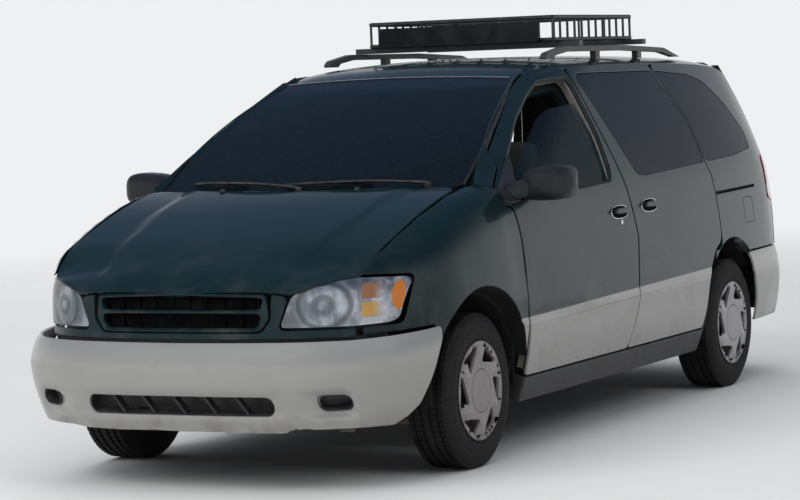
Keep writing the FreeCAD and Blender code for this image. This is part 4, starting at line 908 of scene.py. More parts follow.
def on_front_bumper(s, z):
    """Skin of the front bumper: a crease, a frame round the intake and a scoop to each recess."""
    here = front_wrap.place(s, z)
    inward = Vector((-here.x * END_TURN, 1.0, 0)).normalized()
    deep = SHELF_STEP * eased(z, CREASE_Z - 0.003, CREASE_Z + 0.004) + SHELF_SLOPE * max(z - CREASE_Z, 0.0)
    reach = abs(here.x)
    band = eased(z, 0.29, 0.33) * (1 - eased(z, 0.378, 0.408))
    deep += 0.008 * band * (1 - eased(reach, 0.445, 0.5))
    deep += 0.022 * band * eased(reach, 0.49, 0.61) * (1 - eased(reach, 0.69, 0.735))
    return here + inward * deep


bumper_paint = Finish("bumper paint", SILVER_BEIGE, 0.34, 0.35, Coat_Weight=0.35, Coat_Roughness=0.1)
patch = bumper_paint.noise(5.0, 4.0).rise(0.4, 0.75)
scuff = bumper_paint.noise(26.0, 6.0, 0.7, stretch=(0.35, 0.35, 1.6)).rise(0.6, 0.74)
soil = bumper_paint.noise(9.0, 5.0).rise(0.4, 0.75) * (1.0 - bumper_paint.part(2).rise(0.25, 0.36))
bumper_paint.feed("Base Color", bumper_paint.blend(patch * 0.5, SILVER_BEIGE, (0.27, 0.262, 0.245)))
bumper_paint.cover(scuff * 0.35, (0.2, 0.19, 0.17))
bumper_paint.cover(soil * 0.45, (0.13, 0.11, 0.09))
bumper_paint.feed("Roughness", 0.3 + 0.2 * scuff + 0.35 * soil + 0.06 * patch)


def round_from_side(wrap, rows):
    """Corners given as station and height, turned into the way round the plan and height."""
    return [(wrap.find(1, row[0], row[1]), *row[1:]) for row in rows]


BUMPER_END = [
    (-2.138, 0.257, 0.02), (-2.085, 0.286, 0.03), (-2.036, 0.33, 0.05), (-1.999, 0.419), (-1.949, 0.532),
    (-1.882, 0.622, 0.01), (-2.0, 0.617), (-2.3, 0.604, 0.05),
]
end = round_from_side(front_wrap, BUMPER_END)
# The lower lip hangs lower in the middle, and its edge is torn where it breaks off
TORN_LIP = [
    (-0.56, 0.257), (-0.47, 0.247), (-0.3, 0.244), (-0.12, 0.247), (0.0, 0.244), (0.19, 0.246),
    (0.206, 0.24), (0.23, 0.238), (0.262, 0.243), (0.44, 0.242), (0.474, 0.245), (0.482, 0.253),
    (0.506, 0.256), (0.513, 0.264), (0.522, 0.258), (0.56, 0.261), (0.588, 0.257),
]
bumper_loop = TORN_LIP + end + [(0.0, 0.6)] + other_half(end)
recess = front_wrap.across(rounded(LAMP_RECESS))
intake_edge = front_wrap.across(rounded(INTAKE))
bumper_holes = [intake_edge, recess, recess * (-1, 1)]
bumper_skin = pressing([rounded(bumper_loop)] + bumper_holes, on_front_bumper, 0.012, roll=0.004,
                       spacing=0.03)
cup_back = pressing([inset(recess, -0.006)], front_wrap.place, 0.004, start=0.058, spacing=0.03)
cup_wall = pressing([inset(recess, -0.004), recess], front_wrap.place, 0.05, roll=0.001, start=0.01)
intake_wall = pressing([inset(intake_edge, -0.004), intake_edge], front_wrap.place, 0.04, roll=0.001,
                       start=0.016)
intake_back = pressing([inset(intake_edge, -0.01)], front_wrap.place, 0.004, start=0.085, spacing=0.05)
# Intake ribs: pitch, lean of the middle line at each end, half width, heights of the ends
RIB_PITCH = 0.142
RIB_LEAN = 0.026
RIB_HALF = 0.006
RIB_ENDS = (0.306, 0.394)
ribs = []
for i in range(-2, 3):
    foot = i * RIB_PITCH + RIB_LEAN
    head = i * RIB_PITCH - RIB_LEAN
    rib = [(foot - RIB_HALF, RIB_ENDS[0]), (foot + RIB_HALF, RIB_ENDS[0]),
           (head + RIB_HALF, RIB_ENDS[1]), (head - RIB_HALF, RIB_ENDS[1])]
    ribs.append(pressing([front_wrap.across(rounded(rib))], front_wrap.place, 0.03, roll=0.003, start=0.016))
cups = [cup_back, cup_wall, mirrored(cup_back), mirrored(cup_wall)]
dark_parts = [refinished(part) for part in cups + [intake_wall, intake_back] + ribs]
# A black moulded panel closes the engine bay behind the lamps and the top of the bumper
closing_edge = rounded(both_halves([(0.93, 0.56), (0.93, 0.7), (0.7, 0.795)]))
closing = pressing([closing_edge], nose.place, 0.003, start=0.062, spacing=0.05)
shelf_edge = rounded([(-0.8, 0.572), (0.8, 0.572), (0.8, 0.612), (-0.8, 0.612)])
under_nose = pressing([shelf_edge], nose.place, 0.003, start=0.016, spacing=0.05)
dark_parts += [refinished(closing), refinished(under_nose)]
make("front_bumper_cover", together([bumper_skin] + dark_parts), [bumper_paint, black_plastic], "root",
     "bumper_paint", "bumper_front")

REAR_END = [
    (1.722, 0.3), (1.716, 0.4), (1.692, 0.492), (1.668, 0.6), (1.648, 0.654, 0.01), (1.9, 0.657),
    (2.25, 0.656),
]
rear_end = round_from_side(rear_wrap, REAR_END)
rear_loop = [(0.0, 0.3)] + rear_end + [(0.0, 0.656)] + other_half(rear_end)


def on_rear_bumper(s, z):
    here = rear_wrap.place(s, z)
    return here - Vector((here.x * END_TURN, 1.0, 0)).normalized() * (0.004 * eased(z, 0.548, 0.556))


make("rear_bumper_cover", pressing([rounded(rear_loop)], on_rear_bumper, 0.012, roll=0.004, spacing=0.04),
     [bumper_paint, black_plastic], "root", "bumper_paint", "bumper_rear")

# Glass
# The windshield is one bowed sheet of laminated glass, bonded at its edge over a black ceramic band, with a
# bluer shade along its top. A grey moulding covers the joint at the header and a black one runs down each
# pillar.
SHIELD_BOW = 0.026
SHIELD_EDGE_BOW = 0.036
SHIELD_BASE = (Vector((0, -1.4, 1.13)), Vector((0.735, -1.283, 1.147)))
SHIELD_HEAD = (Vector((0, -0.44, 1.6)), Vector((0.572, -0.415, 1.584)))
SHIELD_UP = Vector((0, -0.42, 0.9))
SHIELD_WIDTH = 0.66
SHIELD_HEIGHT = 1.08


def on_shield(a, b):
    """Point of the glass: a runs across from the middle and b up from the cowl, both in metres."""
    u = a / SHIELD_WIDTH
    t = b / SHIELD_HEIGHT
    centre = SHIELD_BASE[0].lerp(SHIELD_HEAD[0], t)
    edge = SHIELD_BASE[1].lerp(SHIELD_HEAD[1], t)
    bow = 4 * t * (1 - t)
    here = centre.lerp(edge, u * u)
    here.x = u * (edge.x + SHIELD_EDGE_BOW * bow)
    return here + SHIELD_UP * (SHIELD_BOW * bow)


def glazing(name, tint, reflected, gloss, shade=None):
    """Car glass: light goes through in its tint, and it mirrors more of the room the flatter it is seen."""
    finish = Finish(name, reflected, 0.02)
    through = finish.node("ShaderNodeBsdfTransparent", inputs={"Color": tint})
    facing = finish.node("ShaderNodeLayerWeight", inputs={"Blend": 0.5}, output="Facing")
    film = finish.noise(2.2, 3.0, 0.5).rise(0.45, 0.8)
    share = gloss + 0.75 * facing ** 3.0 + 0.012 * film
    if shade:
        share = share + shade(finish)
    finish.feed("Roughness", 0.02 + 0.02 * film)
    mirroring = Signal(finish, finish.shader.outputs[0])
    mix = finish.node("ShaderNodeMixShader", inputs={0: share, 1: through, 2: mirroring})
    finish.join(finish.tree.nodes["Material Output"].inputs["Surface"], mix)
    return finish


clear_glass = glazing("clear glass", (0.66, 0.78, 0.77), (0.01, 0.018, 0.032), 0.06,
                      lambda finish: 0.26 * finish.part(2).rise(1.52, 1.57))
dark_glass = glazing("dark glass", (0.04, 0.05, 0.065), (0.01, 0.02, 0.045), 0.22)
grey_moulding = mottled("grey moulding", (0.2, 0.2, 0.2), (0.13, 0.13, 0.13), 0.4, 30.0, metallic=0.3)
ceramic = mottled("ceramic band", (0.004, 0.004, 0.005), (0.008, 0.008, 0.009), 0.3, 40.0)

shield_edge = rounded(both_halves([(-0.655, 1.08, 0.05), (-0.655, 0.0, 0.03)]), step=0.02)
band_inside = rounded(both_halves([(-0.625, 1.045, 0.06), (-0.625, 0.065, 0.05)]), step=0.02)
shield = pressing([shield_edge], on_shield, 0.005, roll=0.001, spacing=0.045)
band = pressing([inset(shield_edge, 0.004), band_inside], on_shield, 0.001, roll=0.0003, start=0.0052,
                spacing=0.05)
make("windshield_glass", together([shield, refinished(band)]), [clear_glass, ceramic], "root", "clear_glass",
     "windshield")


def solid(verts, faces, sharp):
    """A closed shape whose faces point outwards; edges that turn less than sharp are shaded softly."""
    corners = [[verts[v] for v in f] for f in faces]
    ups = [(c[1] - c[0]).cross(c[2] - c[0]) + (c[2] - c[0]).cross(c[-1] - c[0]) for c in corners]
    middle = sum(verts, Vector()) / len(verts)
    if sum(u.dot(c[0] - middle) for u, c in zip(ups, corners)) < 0:
        faces = [tuple(reversed(f)) for f in faces]
        ups = [-u for u in ups]
    units = [u.normalized() for u in ups]
    around = {}
    for i, face in enumerate(faces):
        for v in face:
            around.setdefault(v, []).append(i)
    limit = math.cos(sharp)
    normals = []
    for i, face in enumerate(faces):
        for v in face:
            near = [ups[j] for j in around[v] if units[j].dot(units[i]) > limit]
            normals.append(sum(near, Vector()).normalized())
    return {"verts": list(verts), "faces": list(faces), "slots": [0] * len(faces), "normals": normals}


def skin(rings, sides, closed):
    """Faces between rings of equally many points, and the faces that close the two ends."""
    faces = []
    for i in range(rings if closed else rings - 1):
        j = (i + 1) % rings
        for k in range(sides):
            m = (k + 1) % sides
            faces.append((i * sides + k, i * sides + m, j * sides + m, j * sides + k))
    last = (rings - 1) * sides
    return faces, [] if closed else [tuple(reversed(range(sides))), tuple(last + k for k in range(sides))]


BEAD_SIDES = 8


def bead(path, radius, place=None, closed=True, flat=1.0, centre=BODY_CENTRE):
    """A round strip along a path of points; flat presses it down towards the surface that it lies on."""
    spots = [Vector(p) if place is None else place(*p) for p in path]
    count = len(spots)
    verts = []
    for i, here in enumerate(spots):
        before = spots[i - 1] if closed or i else here
        after = spots[(i + 1) % count] if closed or i < count - 1 else here
        along = (after - before).normalized()
        out = (here - Vector((centre.x, here.y, centre.z))).normalized()
        side = along.cross(out).normalized()
        out = side.cross(along).normalized()
        for k in range(BEAD_SIDES):
            angle = 2 * math.pi * k / BEAD_SIDES
            verts.append(here + side * (radius * math.cos(angle)) + out * (radius * flat * math.sin(angle)))
    faces, ends = skin(count, BEAD_SIDES, closed)
    return solid(verts, faces + ends, 1.0)


header = bead([on_shield(a, 1.082) for a in np.linspace(-0.65, 0.65, 40)], 0.009, closed=False, flat=0.35)
make("header_moulding", header, [grey_moulding], "root", "rail_grey")
pillar_strip = bead([on_shield(0.658, b) for b in np.linspace(0.01, 1.07, 40)], 0.007, closed=False,
                    flat=0.4)
pair("pillar_moulding", pillar_strip, [black_rubber], "black_plastic")

# Front doors
# Each door is a pressed outer skin folded round an inner frame, with a rubber seal round its window and a
# moulded trim inside. It turns on two hinges at its front edge. Its window glass is wound down by about ten
# centimetres.
DOORS = ("door_left", "door_right")
DOOR_DEPTH = 0.058
GLASS_DEPTH = 0.024
LOWERED_GLASS = [
    (-1.016, 1.1, 0.01), (-1.016, 1.143, 0.02), (-0.676, 1.312, 0.3), (-0.456, 1.415, 0.15),
    (-0.314, 1.451, 0.15), (-0.04, 1.466, 0.02), (0.022, 1.29, 0.2), (0.002, 1.13, 0.04),
    (-0.042, 1.096, 0.02),
]


def at_depth(place, depth):
    """The same surface moved inwards by a depth."""
    def deeper(a, b):
        here = place(a, b)
        up = (place(a + 0.001, b) - here).cross(place(a, b + 0.001) - here).normalized()
        if up.dot(here - BODY_CENTRE) < 0:
            up = -up
        return here - up * depth
    return deeper


door_outer = rounded(FRONT_DOOR)
window = rounded(FRONT_WINDOW)


def door_shell(outer, hole, reveal):
    """Outer skin and moulded inner trim of a door, with its window's reveal."""
    skin = pressing([outer, hole], on_side, 0.012, roll=0.004, spacing=0.035)
    trim = pressing([inset(outer, 0.02), inset(hole, -reveal)], on_side, DOOR_DEPTH - 0.013, roll=0.004,
                    start=0.0125, spacing=0.06)
    return together([skin, refinished(trim)])


pair("front_door", door_shell(door_outer, window, 0.006), [two_tone, tan_plastic], "body_paint",
     DOORS, DOORS)
window_seal = bead(inset(window, 0.001), 0.007, at_depth(on_side, 0.01), flat=0.9)
edge_seal = bead(inset(door_outer, 0.014), 0.006, at_depth(on_side, 0.02))
pair("door_seals", together([window_seal, edge_seal]), [black_rubber], "black_plastic", DOORS)
door_glass = pressing([rounded(LOWERED_GLASS)], on_side, 0.005, roll=0.0015, start=GLASS_DEPTH, spacing=0.04)
pair("door_window", door_glass, [clear_glass, clear_glass], "clear_glass", DOORS,
     ("door_glass_left", "door_glass_right"))
RUN_CHANNEL = [
    (-0.012, 1.105), (0.018, 1.29, 0.3), (-0.026, 1.566), (-0.034, 1.566), (0.008, 1.29, 0.3),
    (-0.022, 1.105),
]
channel = pressing([rounded(RUN_CHANNEL)], on_side, 0.006, roll=0.002, start=0.016, spacing=0.05)
pair("run_channel", channel, [grey_moulding, grey_moulding], "rail_grey", DOORS)

# Door handles
# Each handle is a pull lever in body colour over an oval cup with a bright rim. The cup is near black:
# painted shade of the hollow behind the lever. The front doors have a key cylinder under it.
HANDLE_FRONT = (-0.019, 0.957)
HANDLE_SLIDE = (0.344, 0.967)
chrome = mottled("chrome", (0.62, 0.63, 0.65), (0.5, 0.51, 0.53), 0.14, 25.0, metallic=1.0)


def oval(centre, half_length, half_height, count=40, power=2.6):
    """A closed oval; a higher power makes it squarer."""
    spots = []
    for i in range(count):
        angle = 2 * math.pi * i / count
        c, s = math.cos(angle), math.sin(angle)
        spots.append((centre[0] + half_length * math.copysign(abs(c) ** (2 / power), c),
                      centre[1] + half_height * math.copysign(abs(s) ** (2 / power), s)))
    return np.array(spots)


def handle(centre, key):
    lever_centre = (centre[0], centre[1] + 0.004)
    parts = [bead(oval(centre, 0.092, 0.029), 0.0035, at_depth(on_side, -0.001))]
    # Painted shade: a flat near-black oval stands for the hollow behind the lever.
    cup = pressing([oval(centre, 0.09, 0.027)], at_depth(on_side, -0.0012), 0.001, roll=0.0004,
                   spacing=0.012)
    parts.append(refinished(cup))
    lever = pressing([oval(lever_centre, 0.078, 0.013)], at_depth(on_side, -0.022), 0.009, roll=0.006,
                     spacing=0.01)
    parts.append(refinished(lever, 2, 2))
    for way in (-1, 1):
        foot = oval((lever_centre[0] + way * 0.066, lever_centre[1]), 0.012, 0.01, 16)
        parts.append(refinished(pressing([foot], at_depth(on_side, -0.016), 0.016, roll=0.002), 2, 2))
    if key:
        lock = oval((centre[0] + 0.01, centre[1] - 0.046), 0.012, 0.012, 20, 2.0)
        parts.append(pressing([lock], at_depth(on_side, -0.004), 0.005, roll=0.002))
    return together(parts)


pair("front_handle", handle(HANDLE_FRONT, True), [chrome, painted_shade_black, two_tone], "body_paint", DOORS)
pair("slide_handle", handle(HANDLE_SLIDE, False), [chrome, painted_shade_black, two_tone], "body_paint")

# Sliding doors and side glass
# A sliding door runs back on three tracks. Its tinted glass and the quarter glass behind it are bonded flush
# with the skin over a black edge band. The centre track is a groove in the rear quarter, drawn as a thin
# near-black strip whose darkness is painted shade.
slide_outer = rounded(SLIDING_DOOR)
slide_window = rounded(SLIDING_GLASS)
pair("sliding_door", door_shell(slide_outer, slide_window, -0.012), [two_tone, tan_plastic], "body_paint",
     stands_for=("sliding_doors", "sliding_doors"))
panes = []
for outline in (slide_window, rounded(QUARTER_GLASS)):
    panes.append(pressing([inset(outline, 0.003)], on_side, 0.004, roll=0.0015, start=0.0015, spacing=0.04))
    edge_band = pressing([inset(outline, 0.001), inset(outline, 0.03)], on_side, 0.006, roll=0.001,
                         start=0.006, spacing=0.06)
    panes.append(refinished(edge_band))
pair("side_windows", together(panes), [dark_glass, ceramic], "dark_glass",
     stands_for=("side_glass", "side_glass"))
TRACK = [(1.25, 0.964, 0.006), (1.25, 0.981, 0.006), (1.838, 0.989, 0.006), (1.838, 0.972, 0.006)]
# Painted shade: the groove is a thin near-black strip on the panel, inside a body-colour lip.
groove = pressing([rounded(TRACK)], at_depth(on_side, -0.0008), 0.0015, roll=0.0004)
lip = bead(rounded(TRACK), 0.0022, at_depth(on_side, -0.001))
pair("slide_track", together([groove, refinished(lip)]), [painted_shade_black, two_tone], "black_plastic")
FUEL_DOOR = [(1.62, 0.8, 0.02), (1.62, 0.93, 0.02), (1.77, 0.93, 0.02), (1.77, 0.8, 0.02)]
fuel_edge = rounded(FUEL_DOOR)
# Painted shade: the fuel door's gap is a thin near-black ring laid on the panel, not a cut.
fuel_gap = pressing([fuel_edge, inset(fuel_edge, 0.003)], at_depth(on_side, -0.0005), 0.001, roll=0.0003)
pair("fuel_door_gap", fuel_gap, [painted_shade_black, painted_shade_black], "black_plastic")

# Liftgate and rear corners
# The liftgate is a pressed lid hinged at the roof, with a bonded rear glass, a flat plate recess and a grip
# bar over it. The body's rear corners beside it carry tall lamps with red and clear bands.
GATE_EDGE = both_halves([(0.713, 0.672, 0.03), (0.719, 1.0), (0.697, 1.14, 0.06), (0.557, 1.618, 0.06)])
GATE_WINDOW = [(-0.64, 1.15, 0.05), (0.64, 1.15, 0.05), (0.545, 1.57, 0.06), (-0.545, 1.57, 0.06)]
PLATE_RECESS = (0.205, 0.732, 0.868)
RECESS_EDGE = 0.03


def on_tail(x, z):
    """Tail surface with the soft-edged recess for the plate."""
    half, low, high = PLATE_RECESS
    dish = 1 - eased(abs(x), half, half + RECESS_EDGE)
    dish *= eased(z, low - RECESS_EDGE, low) * (1 - eased(z, high, high + RECESS_EDGE))
    return Vector((x, tail_y(x, z) - 0.016 * dish, z))


gate_outer = rounded(GATE_EDGE, step=0.02)
gate_window = rounded(GATE_WINDOW, step=0.02)
gate_skin = pressing([gate_outer, gate_window], on_tail, 0.014, roll=0.004, spacing=0.03)
gate_trim = pressing([inset(gate_outer, 0.022), inset(gate_window, -0.004)], on_tail, 0.027, roll=0.004,
                     start=0.0145, spacing=0.07)
grip_path = [(x, on_tail(x, 0.905).y + 0.002, 0.905) for x in np.linspace(-0.26, 0.26, 24)]
grip = bead(grip_path, 0.012, closed=False, flat=0.6)
make("liftgate_shell", together([gate_skin, refinished(gate_trim), grip]), [body_paint, tan_plastic],
     "liftgate", "body_paint", "liftgate")
rear_pane = pressing([inset(gate_window, 0.003)], on_tail, 0.004, roll=0.0015, start=0.0015, spacing=0.05)
rear_band = pressing([inset(gate_window, 0.001), inset(gate_window, 0.035)], on_tail, 0.005, roll=0.001,
                     start=0.006, spacing=0.08)
make("liftgate_window", together([rear_pane, refinished(rear_band)]), [dark_glass, ceramic], "liftgate",
     "dark_glass", "liftgate_glass")


def off_tail(path, lift):
    return [on_tail(x, z) + Vector((0, lift, 0)) for x, z in path]


wiper_arm = bead(off_tail([(0.0, 1.165), (-0.16, 1.172), (-0.4, 1.19)], 0.01), 0.006, closed=False)
wiper_blade = bead(off_tail([(-0.1, 1.176), (-0.28, 1.186), (-0.5, 1.2)], 0.006), 0.005, closed=False)
make("rear_wiper", together([wiper_arm, wiper_blade]), [black_plastic], "liftgate", "black_plastic")
# Where the corner panel starts across the tail: height, across
CORNER_EDGE = [(0.66, 0.722), (1.0, 0.728), (1.14, 0.706), (1.62, 0.566)]


def corner_panel(low, high, count):
    """Rear-facing strip between the liftgate and the body side's edge."""
    levels = np.linspace(low, high, count)
    inner = [(interpolate(CORNER_EDGE, z), z) for z in levels]
    outer = [(side_x(tail_edge(z), z) - 0.002, z) for z in reversed(levels)]
    return pressing([rounded(inner + outer, step=0.02)], on_tail, 0.02, roll=0.003, spacing=0.03)


corners = [corner_panel(0.664, 0.864, 6), corner_panel(1.138, 1.6, 12)]
pair("rear_corner", together(corners), [body_paint, inner_paint], "body_paint")
LENS_RED = (0.3, 0.006, 0.008)
red_lens = Finish("red lens", LENS_RED, 0.12, Coat_Weight=1.0, Coat_Roughness=0.03)
ribs_up = red_lens.node("ShaderNodeTexWave", {"wave_type": "BANDS", "bands_direction": "Z"},
                        {"Vector": red_lens.at, "Scale": 60.0})
red_lens.relief(ribs_up, 0.001, 0.4)
height = red_lens.part(2)
clear_zone = height.rise(0.925, 0.929) * (1.0 - height.rise(0.975, 0.979))
red_lens.feed("Base Color", red_lens.blend(clear_zone, LENS_RED, (0.42, 0.4, 0.38)))
red_lens.cover(red_lens.noise(6.0) * 0.3, (0.12, 0.01, 0.01))
LAMP_SIDE = [(2.216, 0.869, 0.012), (2.216, 1.133, 0.012)]
lamp_side = rounded(LAMP_SIDE + [(tail_edge(z) - 0.002, z) for z in (1.133, 1.05, 0.96, 0.869)], step=0.02)
lamp_flank = pressing([lamp_side], on_side, 0.02, roll=0.003, spacing=0.03)
pair("tail_lamp", together([corner_panel(0.869, 1.133, 7), lamp_flank]), [red_lens, liner_plastic],
     "red_lens", stands_for=("tail_lamps", "tail_lamps"))

# Arch liners
# Inside each wheel arch a black moulded band joins the outer panel to the wheelhouse, with a lip at its
# inner edge that laps the wheelhouse's rim.
BAND_WALL = 0.015
LIP_REACH = 0.027
LIP_WALL = 0.005


def arch_band(axle_y, radius, place, start, depth, low, high):
    outer = arc(axle_y, radius + BAND_WALL + 0.001, low, high)[::-1]
    band = arc(axle_y, radius + 0.001, low, high) + outer
    lip = arc(axle_y, radius - LIP_REACH, low, high) + outer
    return [pressing([rounded(band)], place, depth - LIP_WALL, roll=0.001, start=start, spacing=0.08),
            pressing([rounded(lip)], place, LIP_WALL, roll=0.001, start=start + depth - LIP_WALL,
                     spacing=0.08)]


bands = together(arch_band(FRONT_AXLE_Y, FRONT_ARCH, on_fender, 0.0045, 0.08, 12.0, 148.0)
                 + arch_band(REAR_AXLE_Y, REAR_ARCH, on_side, 0.05, 0.086, 36.0, 150.0))
pair("arch_liners", bands, [liner_plastic, liner_plastic], "black_plastic")

# Headlamps
# Each lamp is a clear lens over a silvered bowl, with fine flutes towards the grille, and the turn signal
# shares the lens at its outer end: amber at its corners, with clear facets between and an orange reflector
# round the corner.
LAMP_EDGE = [
    (0.44, 0.655, 0.012), (0.487, 0.775, 0.06), (0.53, 0.803, 0.06), (0.612, 0.825, 0.06),
    (0.712, 0.839, 0.03), (0.833, 0.829, 0.02), (0.808, 0.658, 0.03), (0.707, 0.653),
]
# Bowls round the bulbs: across, height, radius
BOWL = (0.598, 0.738, 0.088)
SIGNAL_BOWL = (0.762, 0.745, 0.058)
DIVIDER_X = 0.71
# Orange reflector: its middle, and how much taller than wide it is
REFLECTOR_X = 0.803
REFLECTOR_Z = 0.76
REFLECTOR_TALL = 4.1
# Depths under the lamp's face: its floor, how much deeper the bowls are, and a bulb's foot
LAMP_FLOOR = 0.014
BOWL_DEPTH = 0.04
BULB_FOOT = 0.052
lamp_loop = nose.across(rounded(LAMP_EDGE))


def in_lamp(s, z):
    """Silvered floor of the lamp: a bowl round each bulb and a ridge between them."""
    here = nose.place(s, z)
    x = abs(here.x)
    middle_x, middle_z, radius = BOWL if x < DIVIDER_X else SIGNAL_BOWL
    reach = min(math.hypot(x - middle_x, z - middle_z) / radius, 1.0)
    ridge = math.exp(-((x - DIVIDER_X) / 0.005) ** 2)
    depth = LAMP_FLOOR + BOWL_DEPTH * (1 - reach * reach) * (1 - ridge) - 0.008 * ridge
    return at_depth(nose.place, depth)(s, z)


silvered = Finish("silvered bowl", (0.66, 0.68, 0.71), 0.16, 0.9)
flutes = silvered.node("ShaderNodeTexWave", {"wave_type": "BANDS", "bands_direction": "X"},
                       {"Vector": silvered.at, "Scale": 55.0}, 1)
fluted = 1.0 - silvered.part(0).size().rise(0.5, 0.56)
across_lamp = silvered.part(0).size()
up_lamp = silvered.part(2)
facets = silvered.cells(26.0) * across_lamp.rise(0.712, 0.72)
silvered.relief(flutes * fluted + facets * 1.4, 0.003, 0.7)
from_bulb = ((across_lamp - BOWL[0]).size() ** 2.0 + (up_lamp - BOWL[1]).size() ** 2.0) ** 0.5
# Painted shade: a dark ring along the main bowl's rim.
bowl_rim_shade = 1.0 - (from_bulb - BOWL[2]).size().rise(0.004, 0.014)
# A darker ring about three centimetres round the bulb.
bulb_ring = 1.0 - (from_bulb - 0.03).size().rise(0.006, 0.018)
smoky = silvered.noise(13.0, 4.0, 0.6, stretch=(1, 1, 0.6)).rise(0.36, 0.62)
beside = across_lamp.rise(0.715, 0.719) * (1.0 - across_lamp.rise(0.742, 0.778))
upper_amber = beside * up_lamp.rise(0.752, 0.757) * (1.0 - up_lamp.rise(0.812, 0.818))
lower_amber = beside * (1.0 - up_lamp.rise(0.738, 0.745)) * up_lamp.rise(0.68, 0.686)
reflector_reach = ((across_lamp - REFLECTOR_X).size() * REFLECTOR_TALL) ** 2.0
reflector_reach = reflector_reach + (up_lamp - REFLECTOR_Z).size() ** 2.0
orange = 1.0 - reflector_reach.rise(0.003, 0.0036)
silvered.feed("Base Color", silvered.blend(smoky, (0.3, 0.31, 0.34), (0.74, 0.75, 0.79)))
# Painted shade along the main bowl's rim, and the darker ring round its bulb.
silvered.cover(bowl_rim_shade * 0.75 + bulb_ring * 0.6, (0.13, 0.135, 0.15))
silvered.cover(upper_amber, (0.42, 0.17, 0.07))
silvered.cover(lower_amber, (0.78, 0.42, 0.1))
silvered.cover(orange, (0.88, 0.25, 0.02))
tinted = upper_amber + lower_amber + orange
silvered.feed("Metallic", 0.85 - 0.75 * tinted)
lens = glazing("lamp lens", (0.88, 0.9, 0.92), (0.05, 0.055, 0.06), 0.1,
               lambda finish: 0.06 * finish.noise(30.0))
lens_shape = pressing([lamp_loop], nose.place, 0.004, roll=0.002, start=0.001, spacing=0.02)
lamp_floor = pressing([inset(lamp_loop, 0.005)], in_lamp, 0.002, roll=0.0005, spacing=0.008)
lamp_wall = pressing([inset(lamp_loop, 0.003), inset(lamp_loop, 0.006)], nose.place, 0.05, roll=0.0005,
                     start=0.006)
lamp_shape = together([lens_shape, refinished(lamp_floor), refinished(lamp_wall)])
pair("headlamp", lamp_shape, [lens, silvered], "lamp_lens", stands_for=("headlamps", "headlamps"))


def turned(profile, place, axis, count, sharp=0.6):
    """A ring or disc turned about an axis, from a closed profile of radius and distance along the axis."""
    axis = Vector(axis).normalized()
    side = axis.orthogonal().normalized()
    upward = axis.cross(side)
    verts, faces = [], []
    rows = len(profile)
    for k in range(count):
        angle = 2 * math.pi * k / count
        out = side * math.cos(angle) + upward * math.sin(angle)
        verts += [Vector(place) + out * max(r, 1e-5) + axis * a for r, a in profile]
    for k in range(count):
        m = (k + 1) % count
        for i in range(rows):
            j = (i + 1) % rows
            faces.append((k * rows + i, m * rows + i, m * rows + j, k * rows + j))
    return solid(verts, faces, sharp)


glass_bulb = Finish("bulb glass", (0.75, 0.76, 0.78), 0.05, Coat_Weight=1.0)
glass_bulb.feed("Base Color", glass_bulb.blend(glass_bulb.noise(90.0), (0.7, 0.72, 0.75), (0.5, 0.52, 0.56)))
BULB = [(0.0, 0.0), (0.006, 0.002), (0.009, 0.01), (0.009, 0.026), (0.006, 0.03), (0.0, 0.03)]
bulbs = []
for x, z, _ in (BOWL, SIGNAL_BOWL):
    s = nose.find(0, x, z)
    foot = at_depth(nose.place, BULB_FOOT)(s, z)
    bulbs.append(turned(BULB, foot, nose.place(s, z) - foot, 16))
pair("lamp_bulbs", together(bulbs), [glass_bulb], "lamp_lens")

# Door mirrors
# Each mirror is a moulded dark housing with its glass facing the driver, on a short arm from a gloss sail at
# the front corner of the door's window.
SAIL = [
    (-1.178, 1.07, 0.012), (-1.174, 1.122, 0.02), (-1.046, 1.19, 0.06), (-0.915, 1.268, 0.014),
    (-0.955, 1.203, 0.1), (-1.0, 1.15, 0.1), (-1.04, 1.066, 0.02), (-1.108, 1.06, 0.01),
]
MIRROR_Y = -0.96
# Mirror housing sections: across, half length, half height, height of the middle
MIRROR_SECTIONS = [
    (0.862, 0.03, 0.022, 1.124),
    (0.869, 0.06, 0.042, 1.126),
    (0.903, 0.088, 0.066, 1.134),
    (0.99, 0.094, 0.075, 1.14),
    (1.058, 0.084, 0.07, 1.142),
    (1.089, 0.062, 0.054, 1.141),
    (1.0995, 0.03, 0.026, 1.14),
]


def lofted(rings, sharp=0.7):
    """A skin over rings of equally many points, closed at both ends."""
    faces, ends = skin(len(rings), len(rings[0]), False)
    return solid([p for ring in rings for p in ring], faces + ends, sharp)


rings = []
for x in np.linspace(MIRROR_SECTIONS[0][0], MIRROR_SECTIONS[-1][0], 22):
    half_y, half_z, middle = (interpolate(MIRROR_SECTIONS, x, k) for k in (1, 2, 3))
    ring = []
    for y, z in oval((MIRROR_Y, middle), half_y, half_z, 44, 3.4):
        ring.append(Vector((x, min(y, -0.906), z)))
    rings.append(ring)
housing = lofted(rings)
ARM = [(0.824, -1.09, 1.104, 0.04), (0.87, -1.06, 1.114, 0.038), (0.925, -1.01, 1.128, 0.042)]
arm = lofted([[Vector((x, y, z)) for y, z in oval((ay, az), half, half, 20)]
              for x, ay, az, half in ARM])
sail = pressing([rounded(SAIL)], at_depth(on_side, -0.01), 0.0097, roll=0.004, spacing=0.03)
pane = lofted([[Vector((x, y, z)) for x, z in oval((0.983, 1.138), 0.09, 0.058, 40, 3.4)]
               for y in (-0.9055, -0.9035)], 0.5)
mirror_black = mottled("mirror black", (0.01, 0.011, 0.014), (0.016, 0.017, 0.02), 0.38, 20.0,
                       Specular_IOR_Level=0.3)
mirror_glass = mottled("mirror glass", (0.55, 0.57, 0.6), (0.5, 0.52, 0.55), 0.03, 5.0, metallic=1.0)
mirror = together([housing, arm, sail, refinished(pane)])
pair("door_mirror", mirror, [mirror_black, mirror_glass], "black_plastic", DOORS,
     ("mirror_left", "mirror_right"))

